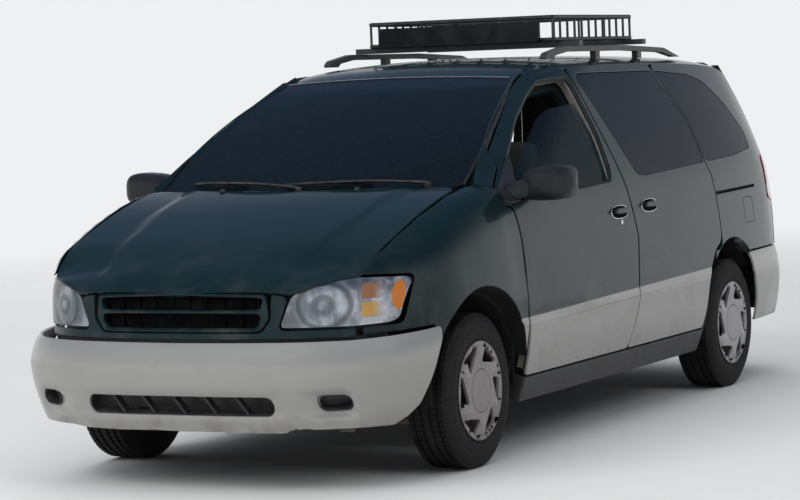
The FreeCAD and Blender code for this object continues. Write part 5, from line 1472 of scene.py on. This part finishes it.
# Wheels
# Each wheel is a painted steel rim and disc under a moulded silver cover, which clips on and has a round cap
# and six swirled openings. The front covers are brown with brake dust.
WHEEL_TABLE = [
    ("front_left", 0.782, FRONT_AXLE_Y, 1), ("front_right", 0.782, FRONT_AXLE_Y, -1),
    ("rear_left", 0.796, REAR_AXLE_Y, 1), ("rear_right", 0.796, REAR_AXLE_Y, -1),
]
COVER_RADIUS = 0.206
CAP_RADIUS = 0.088
COVER_OPENINGS = 6
# One opening: radius, share of the pitch between openings, corner radius
OPENING = [(0.118, 0.4, 0.01), (0.188, 0.17, 0.012), (0.19, -0.4, 0.004), (0.158, -0.3, 0.008)]
# Cover: radius, distance of its face from the wheel's middle plane
COVER_FACE = [
    (0.0, 0.107), (0.05, 0.1066), (0.08, 0.1055), (0.095, 0.105), (0.128, 0.104), (0.168, 0.1015),
    (0.184, 0.0995), (0.192, 0.0995), (0.195, 0.1035), (0.202, 0.103), (0.206, 0.1),
]


def on_cover(a, b):
    """Cover's face behind and above the wheel's centre, with its spokes lifted at their leading edges."""
    radius = math.hypot(a, b)
    share = (math.atan2(b, a) / (2 * math.pi) * COVER_OPENINGS) % 1.0
    swirl = math.exp(-((share - 0.52) / 0.14) ** 2)
    swirl *= eased(radius, 0.1, 0.14) * (1 - eased(radius, 0.176, 0.188))
    return Vector((interpolate(COVER_FACE, radius) + 0.0055 * swirl, a, b))


def opening(index):
    corners = []
    for radius, share, corner in OPENING:
        angle = 2 * math.pi / COVER_OPENINGS * (index + share)
        corners.append((radius * math.cos(angle), radius * math.sin(angle), corner))
    return rounded(corners, step=0.006)


def circle(radius, count):
    turns = np.arange(count) * 2 * math.pi / count
    return np.array([(radius * math.cos(t), radius * math.sin(t)) for t in turns])


holes = [circle(CAP_RADIUS + 0.0016, 64)] + [opening(i) for i in range(COVER_OPENINGS)]
WHEEL_MIDDLE = Vector((0, 0, 0))
cover = pressing([circle(COVER_RADIUS, 96)] + holes, on_cover, 0.014, roll=0.003, spacing=0.011,
                 centre=WHEEL_MIDDLE)
cap = pressing([circle(CAP_RADIUS, 64)], on_cover, 0.012, roll=0.002, spacing=0.016, centre=WHEEL_MIDDLE)
RIM = [
    (0.184, -0.088), (0.199, -0.088), (0.199, -0.078), (0.19, -0.07), (0.186, -0.02), (0.19, 0.07),
    (0.199, 0.078), (0.199, 0.088), (0.196, 0.0895), (0.184, 0.088), (0.176, 0.04), (0.166, -0.04),
]
DISC = [(0.002, 0.016), (0.06, 0.016), (0.12, 0.038), (0.178, 0.034), (0.178, 0.046), (0.118, 0.05),
        (0.056, 0.028), (0.002, 0.028)]
BRAKE = [(0.035, -0.03), (0.128, -0.03), (0.132, -0.024), (0.132, 0.004), (0.125, 0.01), (0.035, 0.01)]
rim = turned(RIM, (0, 0, 0), (1, 0, 0), 64)
disc = turned(DISC, (0, 0, 0), (1, 0, 0), 40)
brake = turned(BRAKE, (0, 0, 0), (1, 0, 0), 40)
wheel_shape = together([cover, cap, refinished(rim, 2, 2), refinished(disc, 3, 3), refinished(brake, 3, 3)])


def silver_cover(name, dust):
    """Silver lacquer on moulded plastic, with brake dust baked on in clouds and fine specks."""
    finish = Finish(name, (0.33, 0.33, 0.335), 0.32, 0.55, Coat_Weight=0.4, Coat_Roughness=0.1)
    cloud = finish.noise(14.0, 5.0, 0.65)
    speck = finish.noise(120.0, 3.0).rise(0.55, 0.75)
    amount = dust * (0.55 + 0.6 * (cloud - 0.5) + 0.35 * speck)
    finish.feed("Base Color", finish.blend(amount, (0.3, 0.3, 0.305), (0.15, 0.112, 0.098)))
    finish.feed("Metallic", 0.55 - 0.45 * amount)
    finish.feed("Roughness", 0.3 + 0.35 * amount + 0.1 * speck)
    finish.feed("Coat Weight", 0.4 - 0.35 * amount)
    return finish


dusty_cover = silver_cover("dusty wheel cover", 0.9)
clean_cover = silver_cover("wheel cover silver", 0.3)
rim_steel = mottled("rim steel", (0.1, 0.1, 0.1), (0.07, 0.055, 0.045), 0.5, 18.0, metallic=0.6)


def on_axle(shape, across, along, side):
    """A shape made about the origin, moved to a wheel's centre on the left or the right."""
    moved = {**shape, "verts": [v + Vector((across, along, AXLE_Z)) for v in shape["verts"]]}
    return moved if side > 0 else mirrored(moved)


for name, *spot in WHEEL_TABLE:
    finish = dusty_cover if name.startswith("front") else clean_cover
    make("road_wheel_" + name, on_axle(wheel_shape, *spot), [finish, liner_plastic, rim_steel, dirty_iron],
         "wheel_" + name, "wheel_cover", "wheel_" + name)

# Tyres
# Each tyre is a moulded radial with four grooves round its tread, rows of shoulder and centre blocks between
# them, and a rim-guard band on each sidewall.
TYRE_RADIUS = 0.318
# Half of the section from the bead to the middle of the tread: radius, distance from the middle plane
TYRE_HALF = [
    (0.1993, 0.0885), (0.204, 0.093), (0.211, 0.0965), (0.214, 0.0985), (0.22, 0.099), (0.2225, 0.0998),
    (0.24, 0.1016), (0.258, 0.1014), (0.26, 0.1), (0.276, 0.0985), (0.29, 0.0948), (0.2985, 0.0905),
    (0.306, 0.085), (0.311, 0.079), (0.309, 0.06), (0.3085, 0.059), (0.3085, 0.05), (0.31, 0.049),
    (0.31, 0.024), (0.3085, 0.023), (0.3085, 0.014), (0.3175, 0.0125), (0.3178, 0.0),
]
section = TYRE_HALF + [(r, -a) for r, a in reversed(TYRE_HALF[:-1])] + [(0.196, -0.08), (0.196, 0.08)]
carcass = turned(section, (0, 0, 0), (1, 0, 0), 96, 0.5)


def ring_of_blocks(name, block, radius, aside, count, skew):
    """Equal tread blocks round the tyre, each turned a little on its place."""
    tree = Tree(name, Block=block, Radius=radius, Aside=aside, Skew=skew, Count=count)
    ring = tree.node("GeometryNodeMeshCircle", {"fill_type": "NONE"},
                     {"Vertices": tree.size("Count"), "Radius": tree.size("Radius")})
    place = tree.node("GeometryNodeInputPosition")
    facing = tree.node("FunctionNodeAlignEulerToVector", {"axis": "X"}, {"Vector": place})
    cube = tree.node("GeometryNodeMeshCube", inputs={"Size": tree.size("Block")})
    lift = tree.node("ShaderNodeCombineXYZ", inputs={"X": tree.size("Skew")})
    slanted = tree.node("GeometryNodeTransform", inputs={0: cube, "Rotation": lift})
    spots = {"Points": ring, "Instance": slanted, "Rotation": facing}
    placed = tree.node("GeometryNodeInstanceOnPoints", inputs=spots)
    shift = tree.node("ShaderNodeCombineXYZ", inputs={"Z": tree.size("Aside")})
    moved = tree.node("GeometryNodeTransform", inputs={0: placed, "Translation": shift})
    flat_ring = tree.shape(moved, tyre_rubber)
    turn = Matrix.Rotation(math.pi / 2, 3, "Y")
    return {**flat_ring, "verts": [turn @ v for v in flat_ring["verts"]],
            "normals": [turn @ n for n in flat_ring["normals"]]}


tyre_rubber = mottled("tyre rubber", (0.009, 0.009, 0.0095), (0.02, 0.018, 0.017), 0.8, 12.0, grain=0.0005,
                      grain_scale=250.0, Specular_IOR_Level=0.25)
# Tread rows: block length round the tyre, block width, distance from the middle plane, slant
TREAD_ROWS = [(0.0215, 0.02, 0.0695, 0.12), (0.02, 0.023, 0.037, 0.35)]
BLOCKS = 80
BLOCK_DEPTH = 0.011
blocks = []
for length, width, aside, slant in TREAD_ROWS:
    for way in (-1, 1):
        block = (BLOCK_DEPTH, length, width)
        middle = TYRE_RADIUS - 0.006
        blocks.append(ring_of_blocks("tread_row", block, middle, way * aside, BLOCKS, way * slant))
tyre_shape = together([carcass] + blocks)
for name, *spot in WHEEL_TABLE:
    make("road_tyre_" + name, on_axle(tyre_shape, *spot), [tyre_rubber], "wheel_" + name, "rubber_tyre",
         "tyre_" + name)

# Tail lamp wings
# The red moulded lens of each tail lamp runs round the corner and lies on the quarter panel as a thin wing,
# held by the lamp's own screws.
WING = [(2.078, 0.905, 0.03), (2.206, 0.88, 0.004), (2.206, 1.122, 0.004), (2.12, 1.122, 0.03)]
wing = pressing([rounded(WING)], at_depth(on_side, -0.005), 0.0045, roll=0.003, spacing=0.03)
pair("tail_lamp_wing", wing, [red_lens], "red_lens")

# Dashboard and steering wheel
# The dashboard is a foamed vinyl skin over a moulded carrier, with a hood over the instruments, four
# round-cornered vents and a lid on the passenger's side. The steering wheel is moulded foam on a steel ring
# with a padded hub.
DASH_SECTION = [
    (-1.104, 1.05, 0.02), (-1.0, 1.06, 0.06), (-0.84, 1.036, 0.05), (-0.8, 0.985, 0.05), (-0.792, 0.9, 0.05),
    (-0.85, 0.78, 0.06), (-0.862, 0.625, 0.02), (-1.104, 0.625),
]
DASH_HALF = 0.648
DASH_MIDDLE = (-0.95, 0.84)
DRIVER_X = 0.37
PASSENGER_X = -0.33
# The hood over the instruments rises and leans back, and the top dips in front of the passenger
HOOD_RISE = 0.022
HOOD_BACK = 0.016
DASH_DIP = 0.012
dash_loop = rounded(DASH_SECTION, step=0.02)
dash_rings = []
for x in np.linspace(-DASH_HALF, DASH_HALF, 73):
    hood = math.exp(-((x - DRIVER_X) / 0.19) ** 6)
    dip = DASH_DIP * math.exp(-((x - PASSENGER_X) / 0.22) ** 6)
    end = 1 - 0.06 * eased(abs(x), 0.6, DASH_HALF)
    ring = []
    for y, z in dash_loop:
        front = eased(y, -0.98, -0.84) * eased(z, 0.93, 1.0)
        back = (y - DASH_MIDDLE[0]) * end + HOOD_BACK * hood * front
        high = (z - DASH_MIDDLE[1] - dip * front) * end + HOOD_RISE * hood * front
        ring.append(Vector((x, DASH_MIDDLE[0] + back, DASH_MIDDLE[1] + high)))
    dash_rings.append(ring)
soft_tan = mottled("dashboard tan", (0.2, 0.175, 0.14), (0.155, 0.135, 0.11), 0.65, 9.0, grain=0.0005,
                   grain_scale=300.0)
top_face = soft_tan.part(2).rise(0.985, 0.99)
soft_tan.cover(top_face, (0.06, 0.057, 0.053))
PLAQUE_DEPTH = 0.012
PLAQUE_CORNER = 0.012
PLAQUE_SLOPE = 0.28


def plaque(x, z, half_x, half_z, y):
    """A flat rounded panel facing the cabin."""
    corners = [(x + across * half_x, z + upward * half_z, PLAQUE_CORNER)
               for across, upward in ((-1, -1), (1, -1), (1, 1), (-1, 1))]
    return pressing([rounded(corners)], lambda a, b: Vector((a, y + PLAQUE_SLOPE * (0.9 - b), b)),
                    PLAQUE_DEPTH, roll=0.003, spacing=0.05, centre=Vector((0, -2.0, 0.9)))


panels = [plaque(DRIVER_X, 0.955, 0.15, 0.046, -0.7815), plaque(0.0, 0.9, 0.115, 0.1, -0.7885),
          plaque(-0.34, 0.925, 0.17, 0.062, -0.7875)]
VENT_XS = (-0.575, -0.062, 0.062, 0.58)
LOUVRE = (0.104, 0.01, 0.0022)
vents = [plaque(x, 0.962, 0.062, 0.026, -0.778) for x in VENT_XS]
vents += [row_of_bars("vent_louvre", black_plastic, LOUVRE, (x, -0.794, 0.945), (0.0, -0.0024, 0.0085), 5)
          for x in VENT_XS]
dark_panels = [refinished(panel) for panel in panels[:1] + vents]
make("dashboard_moulding", together([lofted(dash_rings)] + dark_panels + panels[1:]),
     [soft_tan, black_plastic], "root", "cabin_plastic", "dashboard")

WHEEL_CENTRE = Vector((DRIVER_X, -0.7, 0.985))
COLUMN = Vector((0, -0.9, -0.436)).normalized()
WHEEL_RING = 0.185
ring_profile = circle(0.0135, 14) + (WHEEL_RING, 0.0)
wheel_ring = turned(ring_profile, WHEEL_CENTRE, COLUMN, 72, 1.2)
wheel_up = COLUMN.cross(Vector((1, 0, 0)))


def on_wheel(across, upward, deep):
    return WHEEL_CENTRE + Vector((1, 0, 0)) * across + wheel_up * upward + COLUMN * deep


def wheel_bar(start, end, wide, narrow):
    """A flat spoke from the hub to the ring."""
    rings = []
    for t in np.linspace(0, 1, 8):
        a = Vector(start).lerp(Vector(end), t)
        run = Vector((end[0] - start[0], end[1] - start[1], 0)).normalized()
        across = Vector((-run.y, run.x, 0))
        half = wide + (narrow - wide) * t
        rings.append([on_wheel(*(a + across * half * u + Vector((0, 0, 0.007 * v))))
                      for u, v in oval((0, 0), 1, 1, 16)])
    return lofted(rings, 1.0)


hub_rings = []
for t in np.linspace(0, 1, 9):
    share = math.sqrt(max(1 - (t * 0.98) ** 3, 0.0))
    hub_rings.append([on_wheel(u * share, v * share - 0.012, 0.03 - 0.046 * t)
                      for u, v in oval((0, 0), 0.088, 0.066, 40, 3.2)])
hub = lofted(hub_rings, 1.0)
spokes = []
for way in (1, -1):
    spokes.append(wheel_bar((way * 0.05, 0.0, 0.014), (way * 0.18, 0.016, 0.002), 0.034, 0.016))
    spokes.append(wheel_bar((way * 0.03, -0.05, 0.014), (way * 0.06, -0.172, 0.002), 0.022, 0.013))
STUB = [(0.001, 0.02), (0.028, 0.02), (0.026, 0.069), (0.001, 0.069)]
column_stub = turned(STUB, WHEEL_CENTRE, COLUMN, 24)
make("driver_wheel", together([wheel_ring, hub, column_stub] + spokes), [black_plastic], "steering_wheel",
     "cabin_plastic", "steering_wheel")

# Seats
# Each seat is moulded foam on a steel frame under a sewn woven cover, with raised bolsters between piped
# seams, a head restraint on two steel stalks and a plastic plinth.
cloth = Finish("seat cloth", (0.13, 0.12, 0.105), 0.95)
weave = cloth.cells(700.0).rise(0.1, 0.6)
worn = cloth.noise(8.0, 4.0).rise(0.4, 0.75)
cloth.feed("Base Color", cloth.blend(0.35 * weave + 0.4 * worn, (0.15, 0.138, 0.12), (0.095, 0.09, 0.082)))
cloth.relief(weave, 0.0012, 0.6)
piping = mottled("seat piping", (0.1, 0.095, 0.085), (0.075, 0.07, 0.064), 0.8, 30.0)
CUSHION_GRID = 26


class Cushion:
    """A stuffed block: its middle, the direction of its length, and half its width, length and thickness."""

    def __init__(self, middle, length_way, half, crown, bolsters, seams):
        self.middle = Vector(middle)
        self.across = Vector((1, 0, 0))
        self.along = Vector(length_way).normalized()
        self.up = self.across.cross(self.along)
        self.half = half
        self.crown = crown
        self.bolsters = bolsters
        self.seams = seams

    def point(self, v):
        """Where a point of the cube from -1 to 1 lies on the stuffed shape."""
        x, y, z = v
        size = (abs(x) ** 5 + abs(y) ** 5 + abs(z) ** 5) ** 0.2
        x, y, z = x / size, y / size, z / size
        pull = 1 - 0.03 * (1 - abs(z)) * (x * x * y * y) ** 0.5
        swell = self.crown * (1 - x ** 4) * (1 - y ** 4) * z
        for place in self.bolsters:
            swell -= 0.01 * math.exp(-((abs(x) - place) / 0.035) ** 2) * max(z, 0.0) * (1 - y ** 6)
            swell += 0.012 * eased(abs(x), place, place + 0.15) * max(z, 0.0)
        for place in self.seams:
            swell -= 0.008 * math.exp(-((y - place) / 0.03) ** 2) * max(z, 0.0) * (1 - x ** 6)
        a, b, c = self.half
        flat = self.across * (x * a * pull) + self.along * (y * b * pull)
        return self.middle + flat + self.up * (z * c + swell)

    def shape(self):
        """Skin of the block: six grids that share their edges."""
        index, verts, faces = {}, [], []

        def corner(v):
            key = tuple(round(n, 5) for n in v)
            if key not in index:
                index[key] = len(verts)
                verts.append(self.point(v))
            return index[key]

        steps = np.linspace(-1, 1, CUSHION_GRID + 1)
        for axis in range(3):
            for way in (-1, 1):
                for i in range(CUSHION_GRID):
                    for j in range(CUSHION_GRID):
                        square = []
                        for a, b in ((i, j), (i + 1, j), (i + 1, j + 1), (i, j + 1)):
                            v = [steps[a], steps[b]]
                            v.insert(axis, way)
                            square.append(corner(v))
                        faces.append(tuple(square if (way > 0) == (axis != 1) else reversed(square)))
        return solid(verts, faces, 1.4)

    def piping(self):
        """Piped seam round the face of the cushion."""
        path = []
        for x, y in oval((0, 0), 1, 1, 120, 40):
            path.append(self.point((x, y, 0.86)))
        return bead(path, 0.0035, centre=self.middle)


FLOOR_TOP = 0.421


def column(centre, half_x, half_y, levels, count, power):
    """An upright oval column that stands on and ends at the given levels."""
    return lofted([[Vector((a, b, z)) for a, b in oval(centre, half_x, half_y, count, power)]
                   for z in levels])


def upholster(name, cushions):
    """Each cushion as its own padded piece."""
    for part, block in cushions:
        whole = together([block.shape(), refinished(block.piping())])
        piece = make(name + "_" + part, whole, [cloth, piping], "root", "seat_cloth")


def single_seat(name, x, y, width, base_z, back_top, node):
    """Cushion, back and head restraint, on a plinth that stands for the seat's solid."""
    half = width / 2
    tilt = (0, -1.0, 0.075)
    rake = (0, 0.105, back_top - base_z - 0.1)
    seat_middle = (x, y - 0.065, base_z + 0.098)
    back_middle = (x, y + 0.232, (base_z + 0.1 + back_top) / 2)
    back_half = (half, (back_top - base_z - 0.08) / 2, 0.05)
    head_middle = (x, y + 0.306, back_top + 0.108)
    upholster(name, [
        ("cushion", Cushion(seat_middle, tilt, (half, 0.228, 0.062), 0.018, (0.62,), (-0.2, 0.45))),
        ("back", Cushion(back_middle, rake, back_half, 0.016, (0.6,), (0.15, 0.62))),
        ("head", Cushion(head_middle, (0, 0.1, 1), (0.126, 0.078, 0.038), 0.008, (), ())),
    ])
    plinth = column((x, y), half - 0.045, 0.195, (FLOOR_TOP, base_z - 0.02, base_z + 0.03), 40, 6)
    stalk_ends = (back_top - 0.03, back_top + 0.06)
    stalks = [column((x + way * 0.06, y + 0.3), 0.006, 0.006, stalk_ends, 10, 2.6) for way in (-1, 1)]
    make(name + "_frame", together([plinth, refinished(together(stalks))]), [black_plastic, rim_steel],
         "root", "cabin_plastic", node)


for side, key in ((1, "left"), (-1, "right")):
    single_seat("front_seat_" + key, side * 0.37, -0.33, 0.5, 0.48, 1.1, "front_seats")
    single_seat("middle_seat_" + key, side * 0.33, 0.5, 0.48, 0.48, 1.06, "middle_seats")
bench = []
for x, part in ((-0.353, "right"), (0.0, "middle"), (0.353, "left")):
    seat = Cushion((x, 1.278, 0.618), (0, -1, 0.05), (0.175, 0.205, 0.062), 0.016, (0.66,), (0.4,))
    back = Cushion((x, 1.56, 0.835), (0, 0.155, 1), (0.175, 0.222, 0.048), 0.014, (0.66,), (0.1,))
    bench += [("cushion_" + part, seat), ("back_" + part, back)]
upholster("rear_bench", bench)
bench_base = column((0, 1.355), 0.475, 0.2, (FLOOR_TOP, 0.5, 0.555), 60, 8)
make("rear_bench_frame", bench_base, [black_plastic], "root", "cabin_plastic", "rear_seat")

# Rear-view mirror
# A moulded black housing holds a flat prismatic glass that faces the driver. It hangs on a die-cast stalk,
# whose foot slides on to a button bonded to the windshield near the header.
mirror_foot = at_depth(on_shield, 0.008)(0.0, 0.985)
stalk_end = mirror_foot + Vector((0, 0.052, -0.035))


def mirror_ring(back, half, tall):
    """An oval across the car, level with the stalk's end and so far behind its foot."""
    return [Vector((a, mirror_foot.y + back, stalk_end.z + b)) for a, b in oval((0, 0), half, tall, 36, 3)]


mirror_back = lofted([mirror_ring(0.044, 0.06, 0.012), mirror_ring(0.05, 0.098, 0.026),
                      mirror_ring(0.07, 0.112, 0.033)])
stalk = bead([mirror_foot, mirror_foot + Vector((0, 0.03, -0.022)), stalk_end], 0.008, closed=False)
view_pane = lofted([mirror_ring(0.0701, 0.106, 0.028), mirror_ring(0.0715, 0.106, 0.028)], 0.5)
make("cabin_mirror", together([mirror_back, stalk, refinished(view_pane)]), [black_plastic, mirror_glass],
     "root", "cabin_plastic")

# Roof rails, basket and fairing
# The rails are dark grey moulded covers over aluminium extrusions, screwed to the roof. The basket is welded
# from steel tube and rod, coated black and clamped across the rails. Its fairing is a bent sheet of dark
# acrylic.
rail_grey = mottled("rail grey", (0.024, 0.023, 0.021), (0.04, 0.038, 0.035), 0.45, 12.0, grain=0.0004)
basket_black = mottled("basket coating", (0.02, 0.022, 0.027), (0.035, 0.035, 0.036), 0.42, 16.0,
                       metallic=0.2, grain=0.0003)
fairing_black = mottled("fairing acrylic", (0.006, 0.006, 0.007), (0.01, 0.01, 0.011), 0.3, 10.0,
                        Specular_IOR_Level=0.2)
dress(rail_grey, "roof_rails")
dress(basket_black, "roof_basket")
dress(fairing_black, "fairing")

# Wipers and cowl
# The cowl is a black moulded panel with louvres under the windshield. Each wiper has a pressed steel arm on
# a splined pivot under a cap, and a sprung bridge that holds its rubber against the glass.
dress(black_plastic, "cowl")


def beside_glass(u, t, lift):
    """A place over the windshield: u across from -1 to 1, t up it and lift off it."""
    return at_depth(on_shield, -lift)(u * SHIELD_WIDTH, t * SHIELD_HEIGHT)


# Wiper: pivot, end of the blade beside it and tip of the blade, as shares of the half width
WIPERS = [(0.8, 0.46, -0.1), (0.02, -0.36, -0.76)]
WIPER_CAP = [(0.0, 0.0), (0.016, 0.0), (0.015, 0.045), (0.011, 0.053), (0.0, 0.056)]
wiper_steel = mottled("wiper steel", (0.016, 0.016, 0.017), (0.04, 0.037, 0.034), 0.5, 25.0, grain=0.0003)
wiper_shapes = []
for pivot, heel, tip in WIPERS:
    joint = (heel + tip) / 2
    arm_path = []
    for t in np.linspace(0, 1, 16):
        lift = 0.022 + 0.01 * math.sin(math.pi * t)
        arm_path.append(beside_glass(pivot + (joint - pivot) * t, 0.012 + 0.03 * t, lift))
    blade = np.linspace(heel, tip, 24)
    bridge = [beside_glass(u, 0.046, 0.01 + 0.01 * math.sin(math.pi * (u - heel) / (tip - heel)))
              for u in blade]
    rubber = [beside_glass(u, 0.046, 0.0045) for u in blade]
    wiper_shapes.append(bead(arm_path, 0.011, closed=False, flat=0.6))
    wiper_shapes.append(bead(bridge, 0.008, closed=False, flat=0.8))
    wiper_shapes.append(refinished(bead(rubber, 0.0035, closed=False)))
    post = arm_path[0]
    wiper_shapes.append(turned(WIPER_CAP, post - Vector((0, -0.018, 0.048)), SHIELD_UP, 20))
make("front_wipers", together(wiper_shapes), [wiper_steel, black_rubber], "root", "steel", "wipers")

# Washer nozzles
# Two small moulded plastic nozzles are clipped into holes near the rear edge of the hood and point up at the
# windshield.
# Nozzle: share of its height, half its width
NOZZLE = [(0.0, 0.012), (0.45, 0.011), (0.9, 0.007), (1.0, 0.003)]
nozzle_shapes = []
for x in (-0.345, 0.308):
    foot = on_hood(x, -1.424)
    rings = []
    for share, half in NOZZLE:
        middle = foot + Vector((0, share * 0.004, share * 0.0135 - 0.001))
        rings.append([middle + Vector((a, b * 1.6, 0)) for a, b in oval((0, 0), half, half, 20)])
    nozzle_shapes.append(lofted(rings))
make("washer_nozzles", together(nozzle_shapes), [black_plastic], "hood", "black_plastic")

# Studio
# A plain pale floor under soft lamps in a pale room, and a camera where the photographer stood. None of them
# belongs to the object.

# Camera: place in metres, turn to the left, tilt down and roll in degrees, focal length in millimetres
CAMERA_AT = (5.891, -11.936, 1.641)
CAMERA_TURN = math.radians(27.158)
CAMERA_DOWN = math.radians(3.636)
CAMERA_ROLL = math.radians(-2.181)
CAMERA_LENS = 128.07
floor_mesh = bpy.data.meshes.new("studio_floor")
FLOOR_HALF = 16.0
floor_corners = [(x * FLOOR_HALF, y * FLOOR_HALF, 0) for x, y in ((-1, -1), (1, -1), (1, 1), (-1, 1))]
floor_mesh.from_pydata(floor_corners, [], [(0, 1, 2, 3)])
floor = put("studio_floor", floor_mesh)
pale = Finish("pale floor", (0.56, 0.56, 0.55), 0.9)
pale.feed("Base Color", pale.blend(pale.noise(1.5), (0.55, 0.55, 0.54), (0.58, 0.58, 0.57)))
from_car = pale.node("ShaderNodeVectorMath", {"operation": "LENGTH"}, {0: pale.at}, "Value")
pale.feed("Alpha", 1.0 - from_car.rise(6.0, 15.0))
floor_mesh.materials.append(pale.material)

# Lamps: name, place, aim, width, height, power
LAMPS = [
    ("key", (-3.0, -12.0, 9.0), (0, -0.5, 0.8), 12.0, 8.0, 1500),
    ("side", (12.0, -4.0, 9.0), (0, -0.5, 0.8), 9.0, 6.0, 500),
    ("back", (-7.0, 9.0, 7.0), (0, 0.5, 1.0), 10.0, 6.0, 600),
    ("top", (0.0, -0.5, 9.0), (0, -0.5, 1.0), 12.0, 14.0, 600),
]
for name, place, aim, width, height, power in LAMPS:
    light = bpy.data.lights.new(name, "AREA")
    light.shape = "RECTANGLE"
    light.size = width
    light.size_y = height
    light.energy = power
    lamp = put(name, light)
    lamp.visible_glossy = False
    lamp.location = place
    lamp.rotation_euler = (Vector(aim) - Vector(place)).to_track_quat("-Z", "Y").to_euler()

# The room: a pale wall all round that turns into a dim blue grey ceiling, by the sine of the angle above
# the horizon
AMBIENT = 0.42
WALL = (0.86, 0.87, 0.88)
CEILING = (0.085, 0.125, 0.215)
WALL_TOP = 0.04
CEILING_FOOT = 0.5
world = bpy.data.worlds.new("studio")
world.use_nodes = True
room = Shading(world.node_tree)
background = world.node_tree.nodes["Background"]
room.join(background.inputs["Color"], (0.86, 0.9, 1.0))
room.join(background.inputs["Strength"], AMBIENT)
# What the camera, mirrors and glass see behind the car is pale, and the rest of the room's light stays weak
direction = room.node("ShaderNodeTexCoord", output="Generated")
climb = room.node("ShaderNodeSeparateXYZ", inputs={0: direction}, output="Z").rise(WALL_TOP, CEILING_FOOT)
shade = room.blend(climb, WALL, CEILING)
backdrop = room.node("ShaderNodeBackground", inputs={"Color": shade, "Strength": 1.0})
camera_ray, mirror_ray, glass_ray = (room.node("ShaderNodeLightPath", output="Is " + kind + " Ray")
                                     for kind in ("Camera", "Glossy", "Transmission"))
seen = camera_ray.maths("MAXIMUM", camera_ray, mirror_ray)
seen = seen.maths("MAXIMUM", seen, glass_ray)
weak = Signal(room, background.outputs[0])
choice = room.node("ShaderNodeMixShader", inputs={0: seen, 1: weak, 2: backdrop})
room.join(world.node_tree.nodes["World Output"].inputs["Surface"], choice)
bpy.context.scene.world = world

camera = bpy.data.cameras.new("photo_view")
camera.sensor_width = 36.0
camera.lens = CAMERA_LENS
camera.clip_end = 200.0
viewer = put("photo_view", camera)
turned_round = Matrix.Rotation(CAMERA_TURN, 4, "Z") @ Matrix.Rotation(math.pi / 2 - CAMERA_DOWN, 4, "X")
viewer.matrix_world = Matrix.Translation(CAMERA_AT) @ turned_round @ Matrix.Rotation(CAMERA_ROLL, 4, "Z")
bpy.context.scene.camera = viewer
bpy.context.scene.view_settings.view_transform = "Standard"
